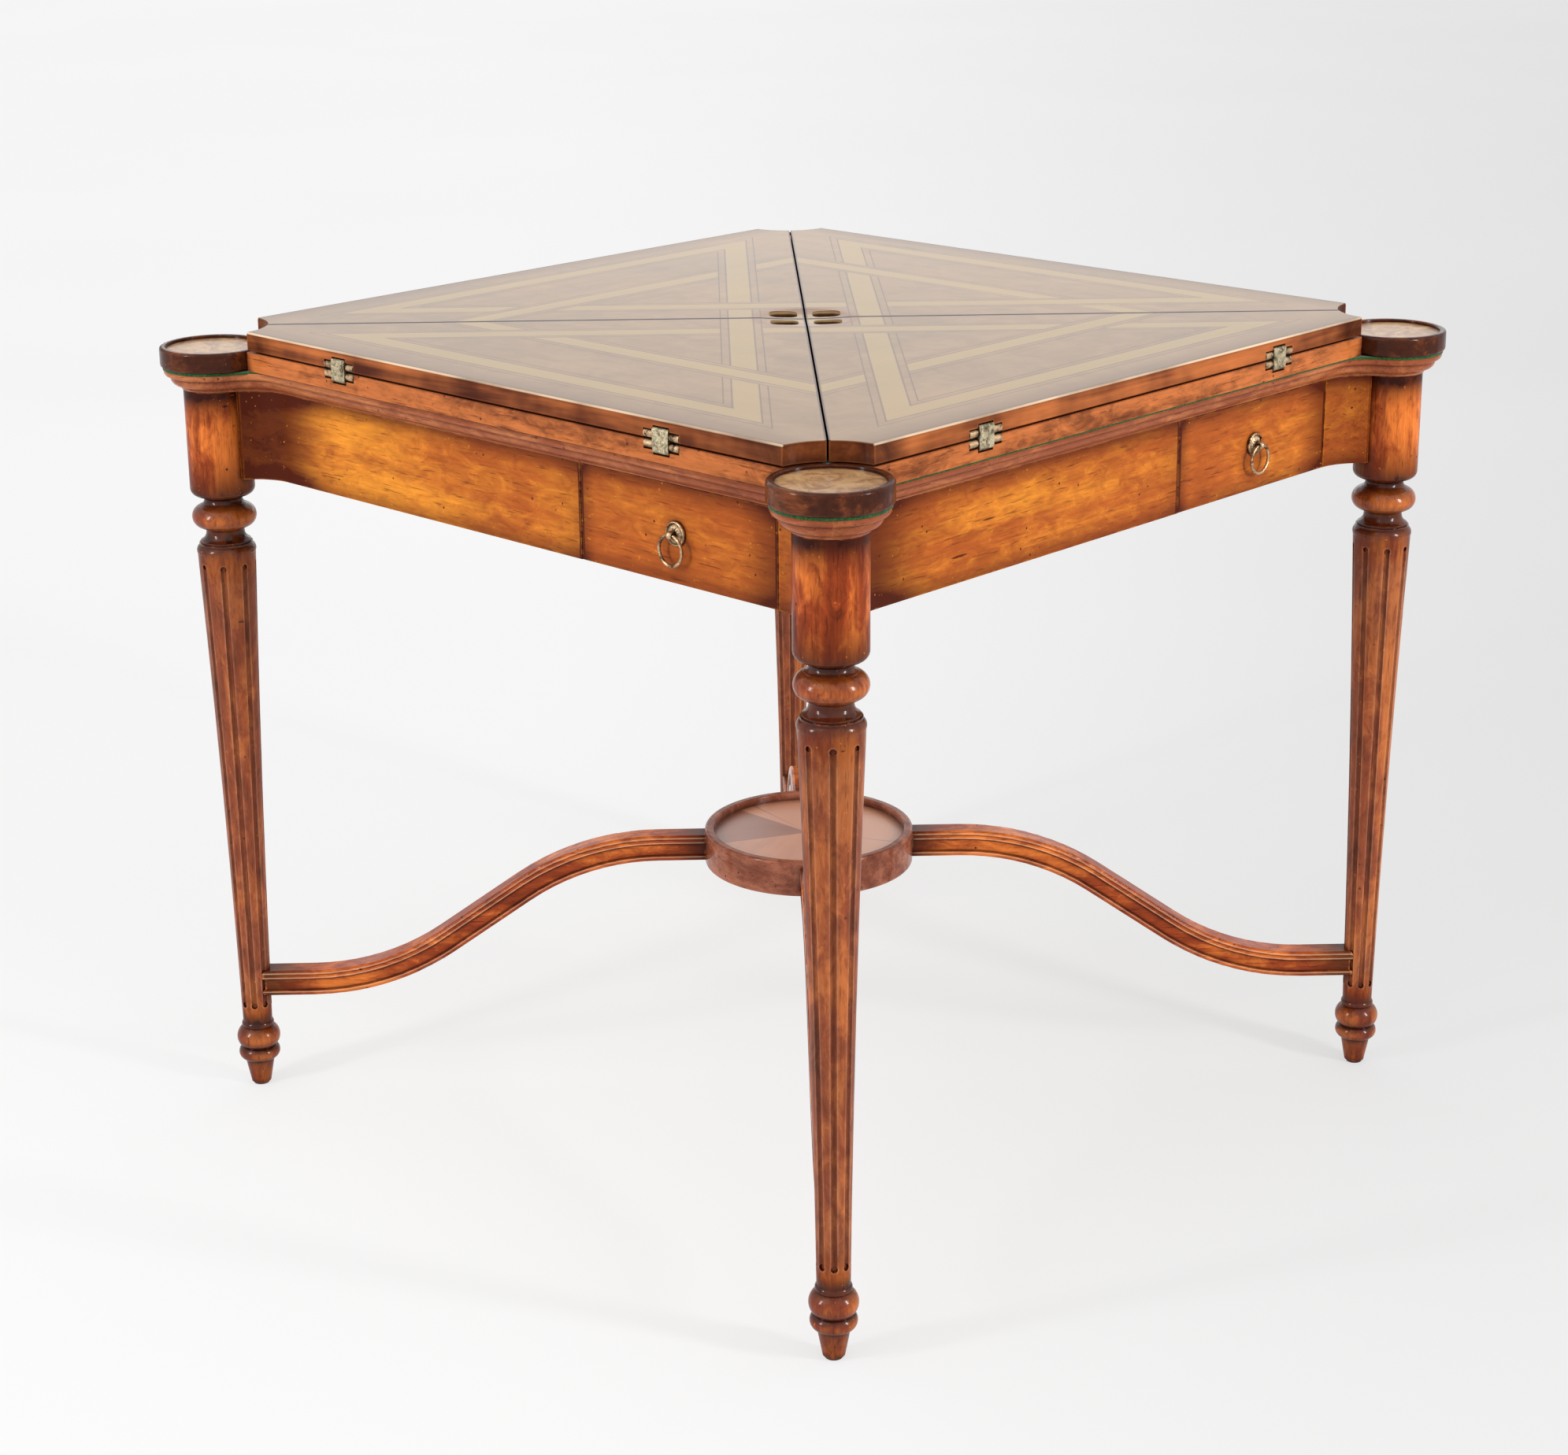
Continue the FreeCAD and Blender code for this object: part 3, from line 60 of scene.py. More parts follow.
# Legs: place on both axes, then painted shade, lacquer and painted sheen as (height, amount) from the floor
# up; how far and how strongly the ridges take painted highlights, and how the right-hand sides lighten with
# distance as painted light
LEG_PLACE = 0.386
LEG_SHADE = (
    (0.0, 0.5), (0.024, 0.6), (0.028, 0.95), (0.034, 0.3), (0.041, 0.95), (0.051, 0.3), (0.062, 0.75),
    (0.068, 0.9), (0.080, 0.45), (0.150, 0.3), (0.400, 0.3), (0.530, 0.5), (0.547, 0.6), (0.556, 0.95),
    (0.566, 0.85), (0.572, 0.7), (0.582, 0.25), (0.592, 0.7), (0.599, 0.98), (0.603, 0.9),
    (0.620, 0.55), (0.645, 0.05), (0.674, 0.05), (0.689, 0.5), (0.699, 0.95), (0.705, 0.98))
LEG_SHINE = (
    (0.0, 0.0), (0.030, 0.3), (0.064, 0.35), (0.078, 0.0), (0.535, 0.0), (0.550, 0.3), (0.568, 0.35),
    (0.596, 0.35), (0.606, 0.15), (0.618, 0.0), (0.705, 0.0))
LEG_SHEEN = ((0.0, 0.0), (0.075, 0.0), (0.105, 0.1), (0.515, 0.1), (0.545, 0.0), (0.705, 0.0))
RIDGE_HIGHLIGHT_REACH = 0.0022
RIDGE_GAIN = 5.0
RIGHT_LIGHT_LIFT = 1.4

# Stretcher arms: height at tray and leg, reach where the S starts and ends, radius of its bows and its
# steepest slope; reach of both ends and of the dark at their joints; then the painted shade lines in the
# quirks and the painted highlight lines on the beads as (offset from the middle line, half width)
ARM_CURVE = (0.2438, 0.1095, 0.1467, 0.4867, 0.2328, 0.6021)
ARM_ENDS = (0.09, 0.545)
TRAY_JOINT = (0.145, 0.100)
LEG_JOINT = (0.470, 0.530)
ARM_QUIRK_SHADE = ((0.0043, 0.0013), (-0.0071, 0.0013), (0.0088, 0.0007))
ARM_BEAD_HIGHLIGHTS = ((0.0059, 0.0008), (0.0104, 0.0008), (-0.0087, 0.0008))

# Photo frame in pixels, and the width of the camera's sensor
PHOTO_WIDE = 1991
PHOTO_HIGH = 1848
SENSOR_MM = 36.0

# Grain: how much it is drawn out along the wood, and waves to the metre
LONG_DRAW = 0.06
BROAD_DRAW = 0.42
MOTTLE = 88.0
STREAKS = 38.0
FINE = 230.0
PORES = 560.0

# Shares of the clouds, the mottle and the streaks in a stain
CLOUD_SHARE = 0.42
MOTTLE_SHARE = 0.24
STREAK_SHARE = 0.34

# Lacquer's index, the low mirror share of the wood below it, the rays that find hollows and edges, and how
# far edges are rubbed
LACQUER_INDEX = 1.5
WOOD_MIRROR = 0.04
HOLLOW_RAYS = 2
RUB = 0.0016

# Settings of a stain
STAIN = {
    "patch": 16.0,             # clouds to the metre
    "depth": 0.012,            # reach of the painted shade in hollows
    "open": 0.96,              # openness where that painted shade starts
    "shut": 0.45,              # openness where it is full
    "gloss": 0.3,              # roughness
    "coat": 0.13,              # lacquer
    "shine": None,             # more lacquer by place, from the finish
    "dark_by": None,           # more dark by place, as stain and painted shade, from the finish and its clouds
    "lift": None,              # more painted light by place, from the finish
    "glint": None,             # painted highlights and sheen from the finish, and their colour
    "wear": 0.4,               # light on rubbed edges
    "bite": 1.0,               # contrast of the fine grain
    "light_at": (0.46, 0.60),  # amount of stain where light starts and is full
    "dark_at": (0.47, 0.33),   # amount where dark starts and is full
}

# Cloth: edges beyond the hole in the middle are spread, most at the corners and on side 1; tufts to the metre
FELT_HOLE = 0.2
FELT_SIDE = 0.335
TUFTS = 900.0

# Stage: half the floor, the shares of its own light and of its paint, and where its far end fades out
FLOOR_HALF = 30.0
FLOOR_GLOW = 0.73
FLOOR_PAINT = 0.29
FLOOR_FADE = (15.0, 26.0)

# Far lamps: direction and spread in degrees, then their distance
KEY_LAMP = ((-0.15, -0.85, 0.95), 38.0)
FILL_LAMP = ((0.9, -0.1, 0.75), 50.0)
LAMP_AWAY = 3.0

# Oblong lamps: turn from the camera, distance, height, width, tallness; the height they aim at, and how much
# stronger the right one is
STRIP_LEFT = (-58.0, 2.7, 1.35, 0.3, 1.1)
STRIP_RIGHT = (58.0, 2.7, 1.35, 0.3, 1.1)
BACK_CARD = (180.0, 3.2, 1.10, 3.4, 0.5)
LAMP_AIM = 0.55
RIGHT_GAIN = 1.4

# Faces and edges that the finishes use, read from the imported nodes
TABLE_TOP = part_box("leaf_1")[1].z
LEAF_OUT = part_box("leaf_1")[1].x
FRIEZE_LOW, FRIEZE_HIGH = (corner.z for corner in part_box("frieze_panel_1"))
DRAWER_LOW, DRAWER_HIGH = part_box("drawer_front_1")


def tone(code):
    """Linear colour from a six-figure screen colour."""
    steps = [int(code[i:i + 2], 16) / 255.0 for i in (0, 2, 4)]
    return tuple(s / 12.92 if s <= 0.04045 else ((s + 0.055) / 1.055) ** 2.4 for s in steps)


def colour(name, code, description):
    """Colour setting with its default."""
    return FloatVectorProperty(name=name, description=description, subtype="COLOR", size=3,
                               min=0.0, max=1.0, default=tone(code))


def length(name, millimetres, description):
    """Length setting with its default given in millimetres."""
    return FloatProperty(name=name, description=description, unit="LENGTH", precision=5,
                         default=millimetres * MM)


def number(name, default, description):
    """Plain number setting."""
    return FloatProperty(name=name, description=description, default=default, precision=4)


class TableColours(bpy.types.PropertyGroup):
    """Colours of the table's finishes."""

    # Frieze light is also the colour of the painted light patch left of the middle
    frieze_light: colour("Frieze light", "d4842a", "Honey tone in the middle of the frieze panels")
    frieze_mid: colour("Frieze middle", "a2501f", "Main stain of the frieze")
    # Frieze dark also paints the shade in hollows and the shadow in the drawer gaps
    frieze_dark: colour("Frieze dark", "481809", "Stain gathered at ends and edges")
    leg_light: colour("Leg light", "d0702f", "Worn tone on the lands of the legs")
    leg_mid: colour("Leg middle", "903c1a", "Main stain of the legs")
    # Leg dark also paints the shade in flutes, turned hollows, finger hollows and crevices
    leg_dark: colour("Leg dark", "2e0d06", "Stain in flutes and turned hollows")
    # The sheen colour paints sheen on the leg shafts and painted highlights on their ridges
    painted_sheen: colour("Painted sheen", "c09a80", "Hazy old wax on the leg shafts")
    edge_light: colour("Edge light", "b26434", "Light streaks on the board and leaf edges")
    edge_dark: colour("Edge dark", "43190d", "Dark streaks on the board and leaf edges")
    # The arris colour paints highlights along the leaves' upper edge and on the arm beads
    arris_highlight: colour("Arris highlight", "e6cbaa", "Rubbed upper edge of the leaves")
    top_field: colour("Top field", "987a5c", "Veneer of the top between the bands")
    top_strip: colour("Top strip", "a88c60", "Pale strip in the middle of each band")
    top_line: colour("Top line", "5a463a", "Thin dark lines beside each strip")
    moulding_light: colour("Moulding light", "b06a40", "Rubbed tone of the frame moulding")
    moulding: colour("Moulding", "8e4a2c", "Stain of the frame moulding")
    stand_light: colour("Stand light", "80421f", "Rubbed tone of the corner stands")
    stand: colour("Stand", "3c1a0c", "Dark rim of the corner stands")
    burl_light: colour("Burl light", "c89e6c", "Light patches of the stand inlays")
    burl_dark: colour("Burl dark", "8e6540", "Dark patches of the stand inlays")
    tray_light: colour("Tray light", "c68c6e", "Light wedges of the tray floor")
    tray_dark: colour("Tray dark", "8e5c4a", "Dark wedges of the tray floor")
    rim_light: colour("Tray rim light", "a0624a", "Rubbed tone of the tray's rim")
    rim: colour("Tray rim", "743e2c", "Stain of the tray's rim")
    plain_light: colour("Plain wood light", "cfae82", "Light grain of unfinished wood")
    plain_dark: colour("Plain wood dark", "a37f55", "Dark grain of unfinished wood")
    felt: colour("Felt", "285c28", "Green of felt and baize")
    felt_dark: colour("Felt dark", "12331a", "Shade between the fibres")
    brass_light: colour("Brass light", "cdac86", "Rubbed brass")
    brass_dark: colour("Brass dark", "362318", "Patina in the hollows")
    link_light: colour("Link light", "d2c4a2", "Rubbed relief of the hinge links")
    link_dark: colour("Link dark", "4a3c2a", "Patina in the relief of the hinge links")
    steel: colour("Steel", "8f8f8c", "Plain steel of the pivot")
    glide: colour("Glide", "2b2420", "Foot glides")
    floor: colour("Floor", "f0f0f0", "Pale studio floor")


class TableSizes(bpy.types.PropertyGroup):
    """Sizes of the banding, the cloth and the trim."""

    outer_band: length("Outer band", 330.0, "Middle of the outer band from the table's middle")
    inner_band: length("Inner band", 220.0, "Middle of the inner band from the table's middle")
    seam_band: length("Seam band", 60.0, "Middle of the slanting bands from the seams")
    strip_half: length("Strip half width", 10.5, "Half the width of the pale strip")
    line_near: length("Near line", 11.6, "First dark line from the middle of a band")
    line_far: length("Far line", 18.7, "Second dark line from the middle of a band")
    line_half: length("Line half width", 0.75, "Half the width of a dark line")
    cross_near: length("Near crossing", 150.0, "Where the slanting bands part from the table's middle")
    cross_far: length("Far crossing", 275.0, "Where the slanting bands turn into the outer band")
    hollow_reach: length("Hollow reach", 70.0, "How far the finger hollows reach from the middle")
    felt_spread: length("Felt spread", 2.3, "How far the felt's soft edge stands out")
    nap: length("Nap", 0.35, "Softening of the cloth edges")


class TableStage(bpy.types.PropertyGroup):
    """Camera and lamps."""

    azimuth: number("Azimuth", 43.578, "Camera's turn about the table, degrees")
    elevation: number("Elevation", 17.256, "Camera's height angle, degrees")
    roll: number("Roll", -0.501, "Camera's tilt, degrees")
    distance: length("Distance", 2844.9, "Camera's distance from its target")
    target_side: length("Target side", -22.5, "Target's shift to the camera's right")
    target_high: length("Target height", 441.1, "Target's height")
    focal: number("Focal length", 3780.2, "Focal length in photo pixels")
    axis_high: number("Axis height", 824.5, "Photo row of the optical axis")
    key: number("Key lamp", 0.3, "Strength of the key lamp")
    fill: number("Fill lamp", 0.1, "Strength of the fill lamp")
    sky: number("Sky", 0.84, "Strength of the even light all round")
    backdrop: number("Backdrop", 0.97, "Brightness of the plain background")
    strip: number("Strip lamps", 30.0, "Power of the tall lamps that streak the turnings")
    card: number("Back card", 6.0, "Power of the low lamp behind the table that sheens the top")


class Term:
    """A socket of a shader tree that takes part in sums."""

    def __init__(self, tree, socket):
        self.tree = tree
        self.socket = socket

    def math(self, operation, *others):
        return add_node(self.tree, "ShaderNodeMath", {"operation": operation},
                        dict(enumerate((self,) + others)))

    def __add__(self, other):
        return self.math("ADD", other)

    __radd__ = __add__

    def __sub__(self, other):
        return self.math("SUBTRACT", other)

    def __rsub__(self, other):
        return add_node(self.tree, "ShaderNodeMath", {"operation": "SUBTRACT"}, {0: other, 1: self})

    def __mul__(self, other):
        return self.math("MULTIPLY", other)

    __rmul__ = __mul__

    def __truediv__(self, other):
        return self.math("DIVIDE", other)

    def __rtruediv__(self, other):
        return add_node(self.tree, "ShaderNodeMath", {"operation": "DIVIDE"}, {0: other, 1: self})

    def __neg__(self):
        return self.math("MULTIPLY", -1.0)

    def __abs__(self):
        return self.math("ABSOLUTE")

    def __gt__(self, other):
        return self.math("GREATER_THAN", other)

    def __lt__(self, other):
        return self.math("LESS_THAN", other)

    def most(self, other):
        return self.math("MAXIMUM", other)

    def least(self, other):
        return self.math("MINIMUM", other)

    def rise(self, low, high):
        """0 below low, 1 above high, eased between; falls if low is above high."""
        if low > high:
            return 1 - self.rise(high, low)
        return add_node(self.tree, "ShaderNodeMapRange", {"interpolation_type": "SMOOTHSTEP"},
                        {"Value": self, "From Min": low, "From Max": high, "To Min": 0.0, "To Max": 1.0})

    def output(self, name):
        return Term(self.tree, self.socket.node.outputs[name])


def add_node(tree, kind, settings=(), inputs=(), output=0):
    """Shader node with its settings, then the values or links of its sockets."""
    made = tree.nodes.new(kind)
    for name, setting in dict(settings).items():
        if name == "stops":
            ramp = made.color_ramp
            while len(ramp.elements) < len(setting):
                ramp.elements.new(0.5)
            for element, (place, shade) in zip(ramp.elements, setting):
                element.position = place
                element.color = shade
        else:
            setattr(made, name, setting)
    for name, content in dict(inputs).items():
        if isinstance(content, Term):
            tree.links.new(content.socket, made.inputs[name])
        else:
            made.inputs[name].default_value = content
    return Term(tree, made.outputs[output]) if len(made.outputs) else None


def rgba(shade):
    """Colour with full opacity."""
    return (shade[0], shade[1], shade[2], 1.0)


class Finish:
    """One procedural material, built from terms on object coordinates."""

    def __init__(self, name):
        self.material = bpy.data.materials.new(name)
        self.material.use_nodes = True
        self.tree = self.material.node_tree
        self.tree.nodes.clear()
        self.place = self.node("ShaderNodeTexCoord", output="Object")
        self.x = self.node("ShaderNodeSeparateXYZ", inputs={0: self.place}, output="X")
        self.y = self.x.output("Y")
        self.z = self.x.output("Z")

    def node(self, kind, settings=(), inputs=(), output=0):
        return add_node(self.tree, kind, settings, inputs, output)

    def vector(self, x, y, z):
        return self.node("ShaderNodeCombineXYZ", inputs={0: x, 1: y, 2: z})

    def noise(self, scale, vector=None, detail=3.0, rough=0.55, warp=0.0):
        """Soft noise from 0 to 1, with scale in waves to the metre."""
        return self.node("ShaderNodeTexNoise", inputs={
            "Vector": vector or self.place, "Scale": scale, "Detail": detail,
            "Roughness": rough, "Distortion": warp})

    def cells(self, scale, vector=None):
        """Distance to scattered points."""
        return self.node("ShaderNodeTexVoronoi", {"feature": "F1"},
                         {"Vector": vector or self.place, "Scale": scale}, output="Distance")

    def mix(self, factor, first, second):
        """Colour between two colours."""
        ends = {6: first, 7: second}
        inputs = {key: end if isinstance(end, Term) else rgba(end) for key, end in ends.items()}
        inputs[0] = factor
        return self.node("ShaderNodeMix", {"data_type": "RGBA", "clamp_factor": True}, inputs, output=2)

    def shade(self, first, factor):
        """Colour made darker or lighter by a factor."""
        grey = self.vector(factor, factor, factor)
        inputs = {0: 1.0, 6: first if isinstance(first, Term) else rgba(first), 7: grey}
        return self.node("ShaderNodeMix", {"data_type": "RGBA", "blend_type": "MULTIPLY"}, inputs, output=2)

    def crevice(self, reach):
        """1 in the open, towards 0 in hollows narrower than the reach."""
        return self.node("ShaderNodeAmbientOcclusion", {"samples": HOLLOW_RAYS, "only_local": False},
                         {"Distance": reach}, output="AO")

    def worn(self, reach):
        """1 on outside edges, within the reach of the edge."""
        inner = self.node("ShaderNodeAmbientOcclusion",
                          {"samples": HOLLOW_RAYS, "inside": True, "only_local": True},
                          {"Distance": reach}, output="AO")
        return inner.rise(0.9, 0.6)

    def quarter(self):
        """Outward distance, place along the side and a mark for each of the four sides."""
        across = abs(self.y) > abs(self.x)
        keep = 1 - across
        sign_x = self.x.math("SIGN")
        sign_y = self.y.math("SIGN")
        out = abs(self.x).most(abs(self.y))
        along = keep * self.y * sign_x - across * self.x * sign_y
        mark = across * 13.0 + (keep * sign_x + across * sign_y) * 5.0
        return out, along, mark

    def radius(self):
        """Distance from the table's upright axis."""
        return (self.x * self.x + self.y * self.y).math("SQRT")

    def profile(self, place, stops):
        """Amount that changes with a place, through stops of place and amount."""
        low, high = stops[0][0], stops[-1][0]
        greys = [((spot - low) / (high - low), (amount, amount, amount, 1.0)) for spot, amount in stops]
        return self.node("ShaderNodeValToRGB", {"stops": greys}, {0: (place - low) / (high - low)})

    def nicks(self, scale, vector=None, size=0.06):
        """1 in scattered small dents."""
        spots = self.cells(scale, vector)
        chosen = self.noise(scale * 0.21, vector, 1.0).rise(0.53, 0.58)
        return spots.rise(size, size * 0.55) * chosen

    def scratches(self, scale, turn, size=0.05):
        """1 in scattered thin strokes, turned about all three axes."""
        turned = self.node("ShaderNodeMapping", {"vector_type": "POINT"},
                           {"Vector": self.place, "Rotation": turn, "Scale": (1.0, 0.12, 1.0)})
        return self.nicks(scale, turned, size)

    def surface(self, base, roughness, height=None, bump=0.1, deep=0.0004, constants=()):
        """Principled surface with an optional bump from a height term."""
        inputs = {"Base Color": base if isinstance(base, Term) else rgba(base), "Roughness": roughness}
        inputs.update(dict(constants))
        if height is not None:
            inputs["Normal"] = self.node("ShaderNodeBump", inputs={
                "Height": height, "Strength": bump, "Distance": deep})
        shader = self.node("ShaderNodeBsdfPrincipled", inputs=inputs)
        self.node("ShaderNodeOutputMaterial", inputs={"Surface": shader})
        return self.material


def stained(name, light, middle, dark, grain_vector, settings=()):
    """Stained and lacquered wood: cloudy stain, long grain, dents, scratches and painted shade in hollows."""
    choice = {**STAIN, **dict(settings)}
    wood = Finish(name)
    vector = grain_vector(wood)
    broad = grain_vector(wood, BROAD_DRAW)
    clouds = wood.noise(choice["patch"], broad, 5.0, 0.62, 0.5)
    mottle = wood.noise(MOTTLE, broad, 4.0, 0.68, 0.8)
    streaks = wood.noise(STREAKS, vector, 4.0, 0.62, 0.3)
    fine = wood.noise(FINE, vector, 3.0, 0.7)
    amount = clouds * CLOUD_SHARE + mottle * MOTTLE_SHARE + streaks * STREAK_SHARE
    # Painted light by place, where a finish asks for it
    if choice["lift"] is not None:
        amount = amount + choice["lift"](wood)
    body = wood.mix(amount.rise(*choice["light_at"]), middle, light)
    body = wood.mix(amount.rise(*choice["dark_at"]) * 0.7, body, dark)
    body = wood.shade(body, 1.0 + ((fine - 0.5) * 0.78 + (mottle - 0.5) * 0.62) * choice["bite"])
    pores = wood.noise(PORES, vector, 2.0, 0.7).rise(0.42, 0.28)
    body = wood.mix(pores * 0.6, body, dark)
    # More dark by place: darker stain, and painted shade where a finish asks for it
    if choice["dark_by"] is not None:
        body = wood.mix(choice["dark_by"](wood, clouds * 0.5 + mottle * 0.5), body, dark)
    # Painted shade in hollows narrower than the depth
    hidden = wood.crevice(choice["depth"]).rise(choice["open"], choice["shut"])
    body = wood.mix(hidden * 0.9, body, dark)
    dents = wood.nicks(90.0, size=0.13).most(wood.scratches(60.0, (0.4, 0.9, 0.3), 0.09))
    dents = dents.most(wood.scratches(52.0, (1.1, 0.2, 2.1), 0.08))
    body = wood.mix(dents * 0.9, body, dark)
    specks = wood.noise(300.0, detail=1.0).rise(0.70, 0.74) * mottle.rise(0.5, 0.6)
    body = wood.mix(specks * 0.6, body, light)
    rubbed = wood.worn(RUB) * mottle.rise(0.42, 0.58)
    body = wood.mix(rubbed * choice["wear"], body, light)
    # Painted highlights and sheen, kept out of the painted shade
    if choice["glint"] is not None:
        lines, pale = choice["glint"]
        body = wood.mix(lines(wood) * (0.3 + mottle) * (1.0 - hidden), body, pale)
    gloss = choice["gloss"] + (fine - 0.5) * 0.14 + hidden * 0.15 + (clouds - 0.5) * 0.12
    height = fine * 0.3 + mottle * 0.5 - dents * 2.4
    lacquer = choice["coat"] * (0.6 + clouds * 0.8)
    if choice["shine"] is not None:
        lacquer = lacquer + choice["shine"](wood)
    return wood.surface(body, gloss, height, 0.24, 0.0003, {
        "Specular IOR Level": WOOD_MIRROR, "Coat Weight": lacquer, "Coat IOR": LACQUER_INDEX,
        "Coat Roughness": choice["gloss"] * 0.5})


def upright_grain(wood, stretch=LONG_DRAW):
    """Grain that runs up and down."""
    return wood.vector(wood.x, wood.y, wood.z * stretch)


def side_grain(wood, stretch=LONG_DRAW):
    """Grain that runs along each side of the table."""
    out, along, mark = wood.quarter()
    return wood.vector(out, along * stretch + mark, wood.z)


def arm_grain(wood, stretch=LONG_DRAW):
    """Grain that runs out along the diagonals."""
    return wood.vector((abs(wood.x) - abs(wood.y)) * ROOT_HALF, wood.radius() * stretch, wood.z)


def turned_grain(wood, stretch=LONG_DRAW):
    """Grain of a round piece, along X."""
    return wood.vector(wood.x * stretch, wood.y, wood.z)


def arm_line():
    """Stops of an arm's middle line and of the cosine of its slope, by the reach from the table's axis."""
    high, low, start, end, bow, slope = ARM_CURVE
    steps = 8
    angles = [slope * step / steps for step in range(steps + 1)]
    upper = [(start + bow * math.sin(angle), high - bow * (1.0 - math.cos(angle))) for angle in angles]
    lower = [(end - bow * math.sin(angle), low + bow * (1.0 - math.cos(angle))) for angle in reversed(angles)]
    middle = [(ARM_ENDS[0], high)] + upper + lower + [(ARM_ENDS[1], low)]
    cosines = [math.cos(angle) for angle in angles]
    cosines = [1.0] + cosines + cosines[::-1] + [1.0]
    return middle, [(reach, cosine) for (reach, _), cosine in zip(middle, cosines)]


def dress(material, *names):
    """Give CAD nodes a material."""
    for name in names:
        slots = NODES[name].data.materials
        slots.clear()
        slots.append(material)


def numbered(stem):
    """Names of the four like nodes of a stem."""
    return [stem + "_%d" % side for side in SIDES]


class TableOperator:
    """What the table's operators share; each has a make() of its own."""

    bl_options = {"REGISTER", "UNDO"}

    def execute(self, context):
        self.make(context.scene, context.scene.table_colours)
        return {"FINISHED"}


class GAMETABLE_OT_legs(TableOperator, bpy.types.Operator):
    """Stain the turned legs and set the foot glides"""

    bl_idname = "gametable.legs"
    bl_label = "Legs"

    def make(self, scene, hue):
        def turned_shade(wood, clouds):
            """Painted shade in the turned hollows, by height, darker where the clouds are."""
            return wood.profile(wood.z, LEG_SHADE) * (0.1 + clouds * 1.8)

        def turned_shine(wood):
            """Thicker lacquer on the bulbs."""
            return wood.profile(wood.z, LEG_SHINE)

        def painted_sheen(wood):
            """Painted sheen on the shafts, strongest as painted highlights on the ridges between the flutes.
            """
            return wood.profile(wood.z, LEG_SHEEN) * (1.0 + wood.worn(RIDGE_HIGHLIGHT_REACH) * RIDGE_GAIN)

        def painted_right_light(wood):
            """Painted light, lighter towards the right-hand side of each leg, as the photo shows it."""
            right = wood.x + wood.y - (wood.x.math("SIGN") + wood.y.math("SIGN")) * LEG_PLACE
            return right * ROOT_HALF * RIGHT_LIGHT_LIFT

        dress(stained("leg stain", hue.leg_light, hue.leg_mid, hue.leg_dark, upright_grain,
                      {"patch": 20.0, "depth": 0.008, "open": 0.98, "shut": 0.68, "bite": 1.25,
                       "dark_by": turned_shade, "shine": turned_shine, "lift": painted_right_light,
                       "glint": (painted_sheen, hue.painted_sheen), "light_at": (0.46, 0.58), "dark_at": (0.48, 0.36)}),
              *numbered("leg"))
        glide = Finish("glide plastic")
        wear = glide.noise(300.0)
        dress(glide.surface(glide.mix(wear, hue.glide, hue.leg_dark), 0.5 + wear * 0.2), "foot_glides")


class GAMETABLE_OT_frieze(TableOperator, bpy.types.Operator):
    """Stain the frieze panels, the coves and the drawer fronts"""

    bl_idname = "gametable.frieze"
    bl_label = "Frieze and drawer fronts"

    def make(self, scene, hue):
        left = DRAWER_LOW.y
        right = DRAWER_HIGH.y
        strength = 0.9

        def border(wood):
            """Dark along the lower and the upper edge."""
            low = wood.z.rise(FRIEZE_LOW + 0.020, FRIEZE_LOW - 0.004)
            high = wood.z.rise(FRIEZE_HIGH - 0.022, FRIEZE_HIGH + 0.006)
            return low * 0.75 + high * strength

        def end_shade(wood, clouds):
            """Dark in the coves and beside the drawer, and painted shadow in the drawer's gap."""
            _, along, _ = wood.quarter()
            cove = along.rise(-0.235, -0.325) * 1.1
            beside_drawer = along.rise(0.045, 0.09) * 0.35
            stile = along.rise(0.33, 0.36) * 0.1
            gap = along.rise(left - 0.0040, left - 0.0018) * along.rise(right, left)
            return (border(wood) + cove + beside_drawer + stile) * (0.3 + clouds) + gap * strength

        def drawer_shade(wood, clouds):
            """Dark at the drawer's ends, and painted shadow in the gaps beside it."""
            _, along, _ = wood.quarter()
            ends = along.rise(left + 0.02, left - 0.004).most(along.rise(right - 0.05, right + 0.006))
            gap = along.rise(left + 0.0036, left + 0.0016).most(along.rise(right - 0.0036, right - 0.0016))
            return (border(wood) + ends * strength) * (0.3 + clouds) + gap * strength

        def painted_glow(wood):
            """Painted light patch left of the middle, faint on side 1."""
            _, along, _ = wood.quarter()
            glow = along.rise(-0.30, -0.20) * along.rise(0.02, -0.18)
            return glow * (0.1 - (wood.x > 0.3) * 0.085) - 0.012

        panels = stained("frieze stain", hue.frieze_light, hue.frieze_mid, hue.frieze_dark, side_grain,
                         {"patch": 9.0, "dark_by": end_shade, "lift": painted_glow, "coat": 0.06, "gloss": 0.4,
                          "light_at": (0.43, 0.68), "dark_at": (0.44, 0.27)})
        dress(panels, "cove_stiles", *numbered("frieze_panel"))
        dress(stained("drawer stain", hue.frieze_light, hue.frieze_mid, hue.frieze_dark, side_grain,
                      {"patch": 11.0, "dark_by": drawer_shade, "coat": 0.07, "gloss": 0.4,
                       "light_at": (0.46, 0.72), "dark_at": (0.44, 0.27)}), *numbered("drawer_front"))


class GAMETABLE_OT_moulding(TableOperator, bpy.types.Operator):
    """Stain the frame moulding"""

    bl_idname = "gametable.moulding"
    bl_label = "Frame moulding"

    def make(self, scene, hue):
        dress(stained("moulding stain", hue.moulding_light, hue.moulding, hue.frieze_dark, side_grain,
                      {"patch": 22.0, "depth": 0.006, "gloss": 0.2, "coat": 0.25, "bite": 0.6,
                       "dark_at": (0.42, 0.28)}), "frame_moulding")


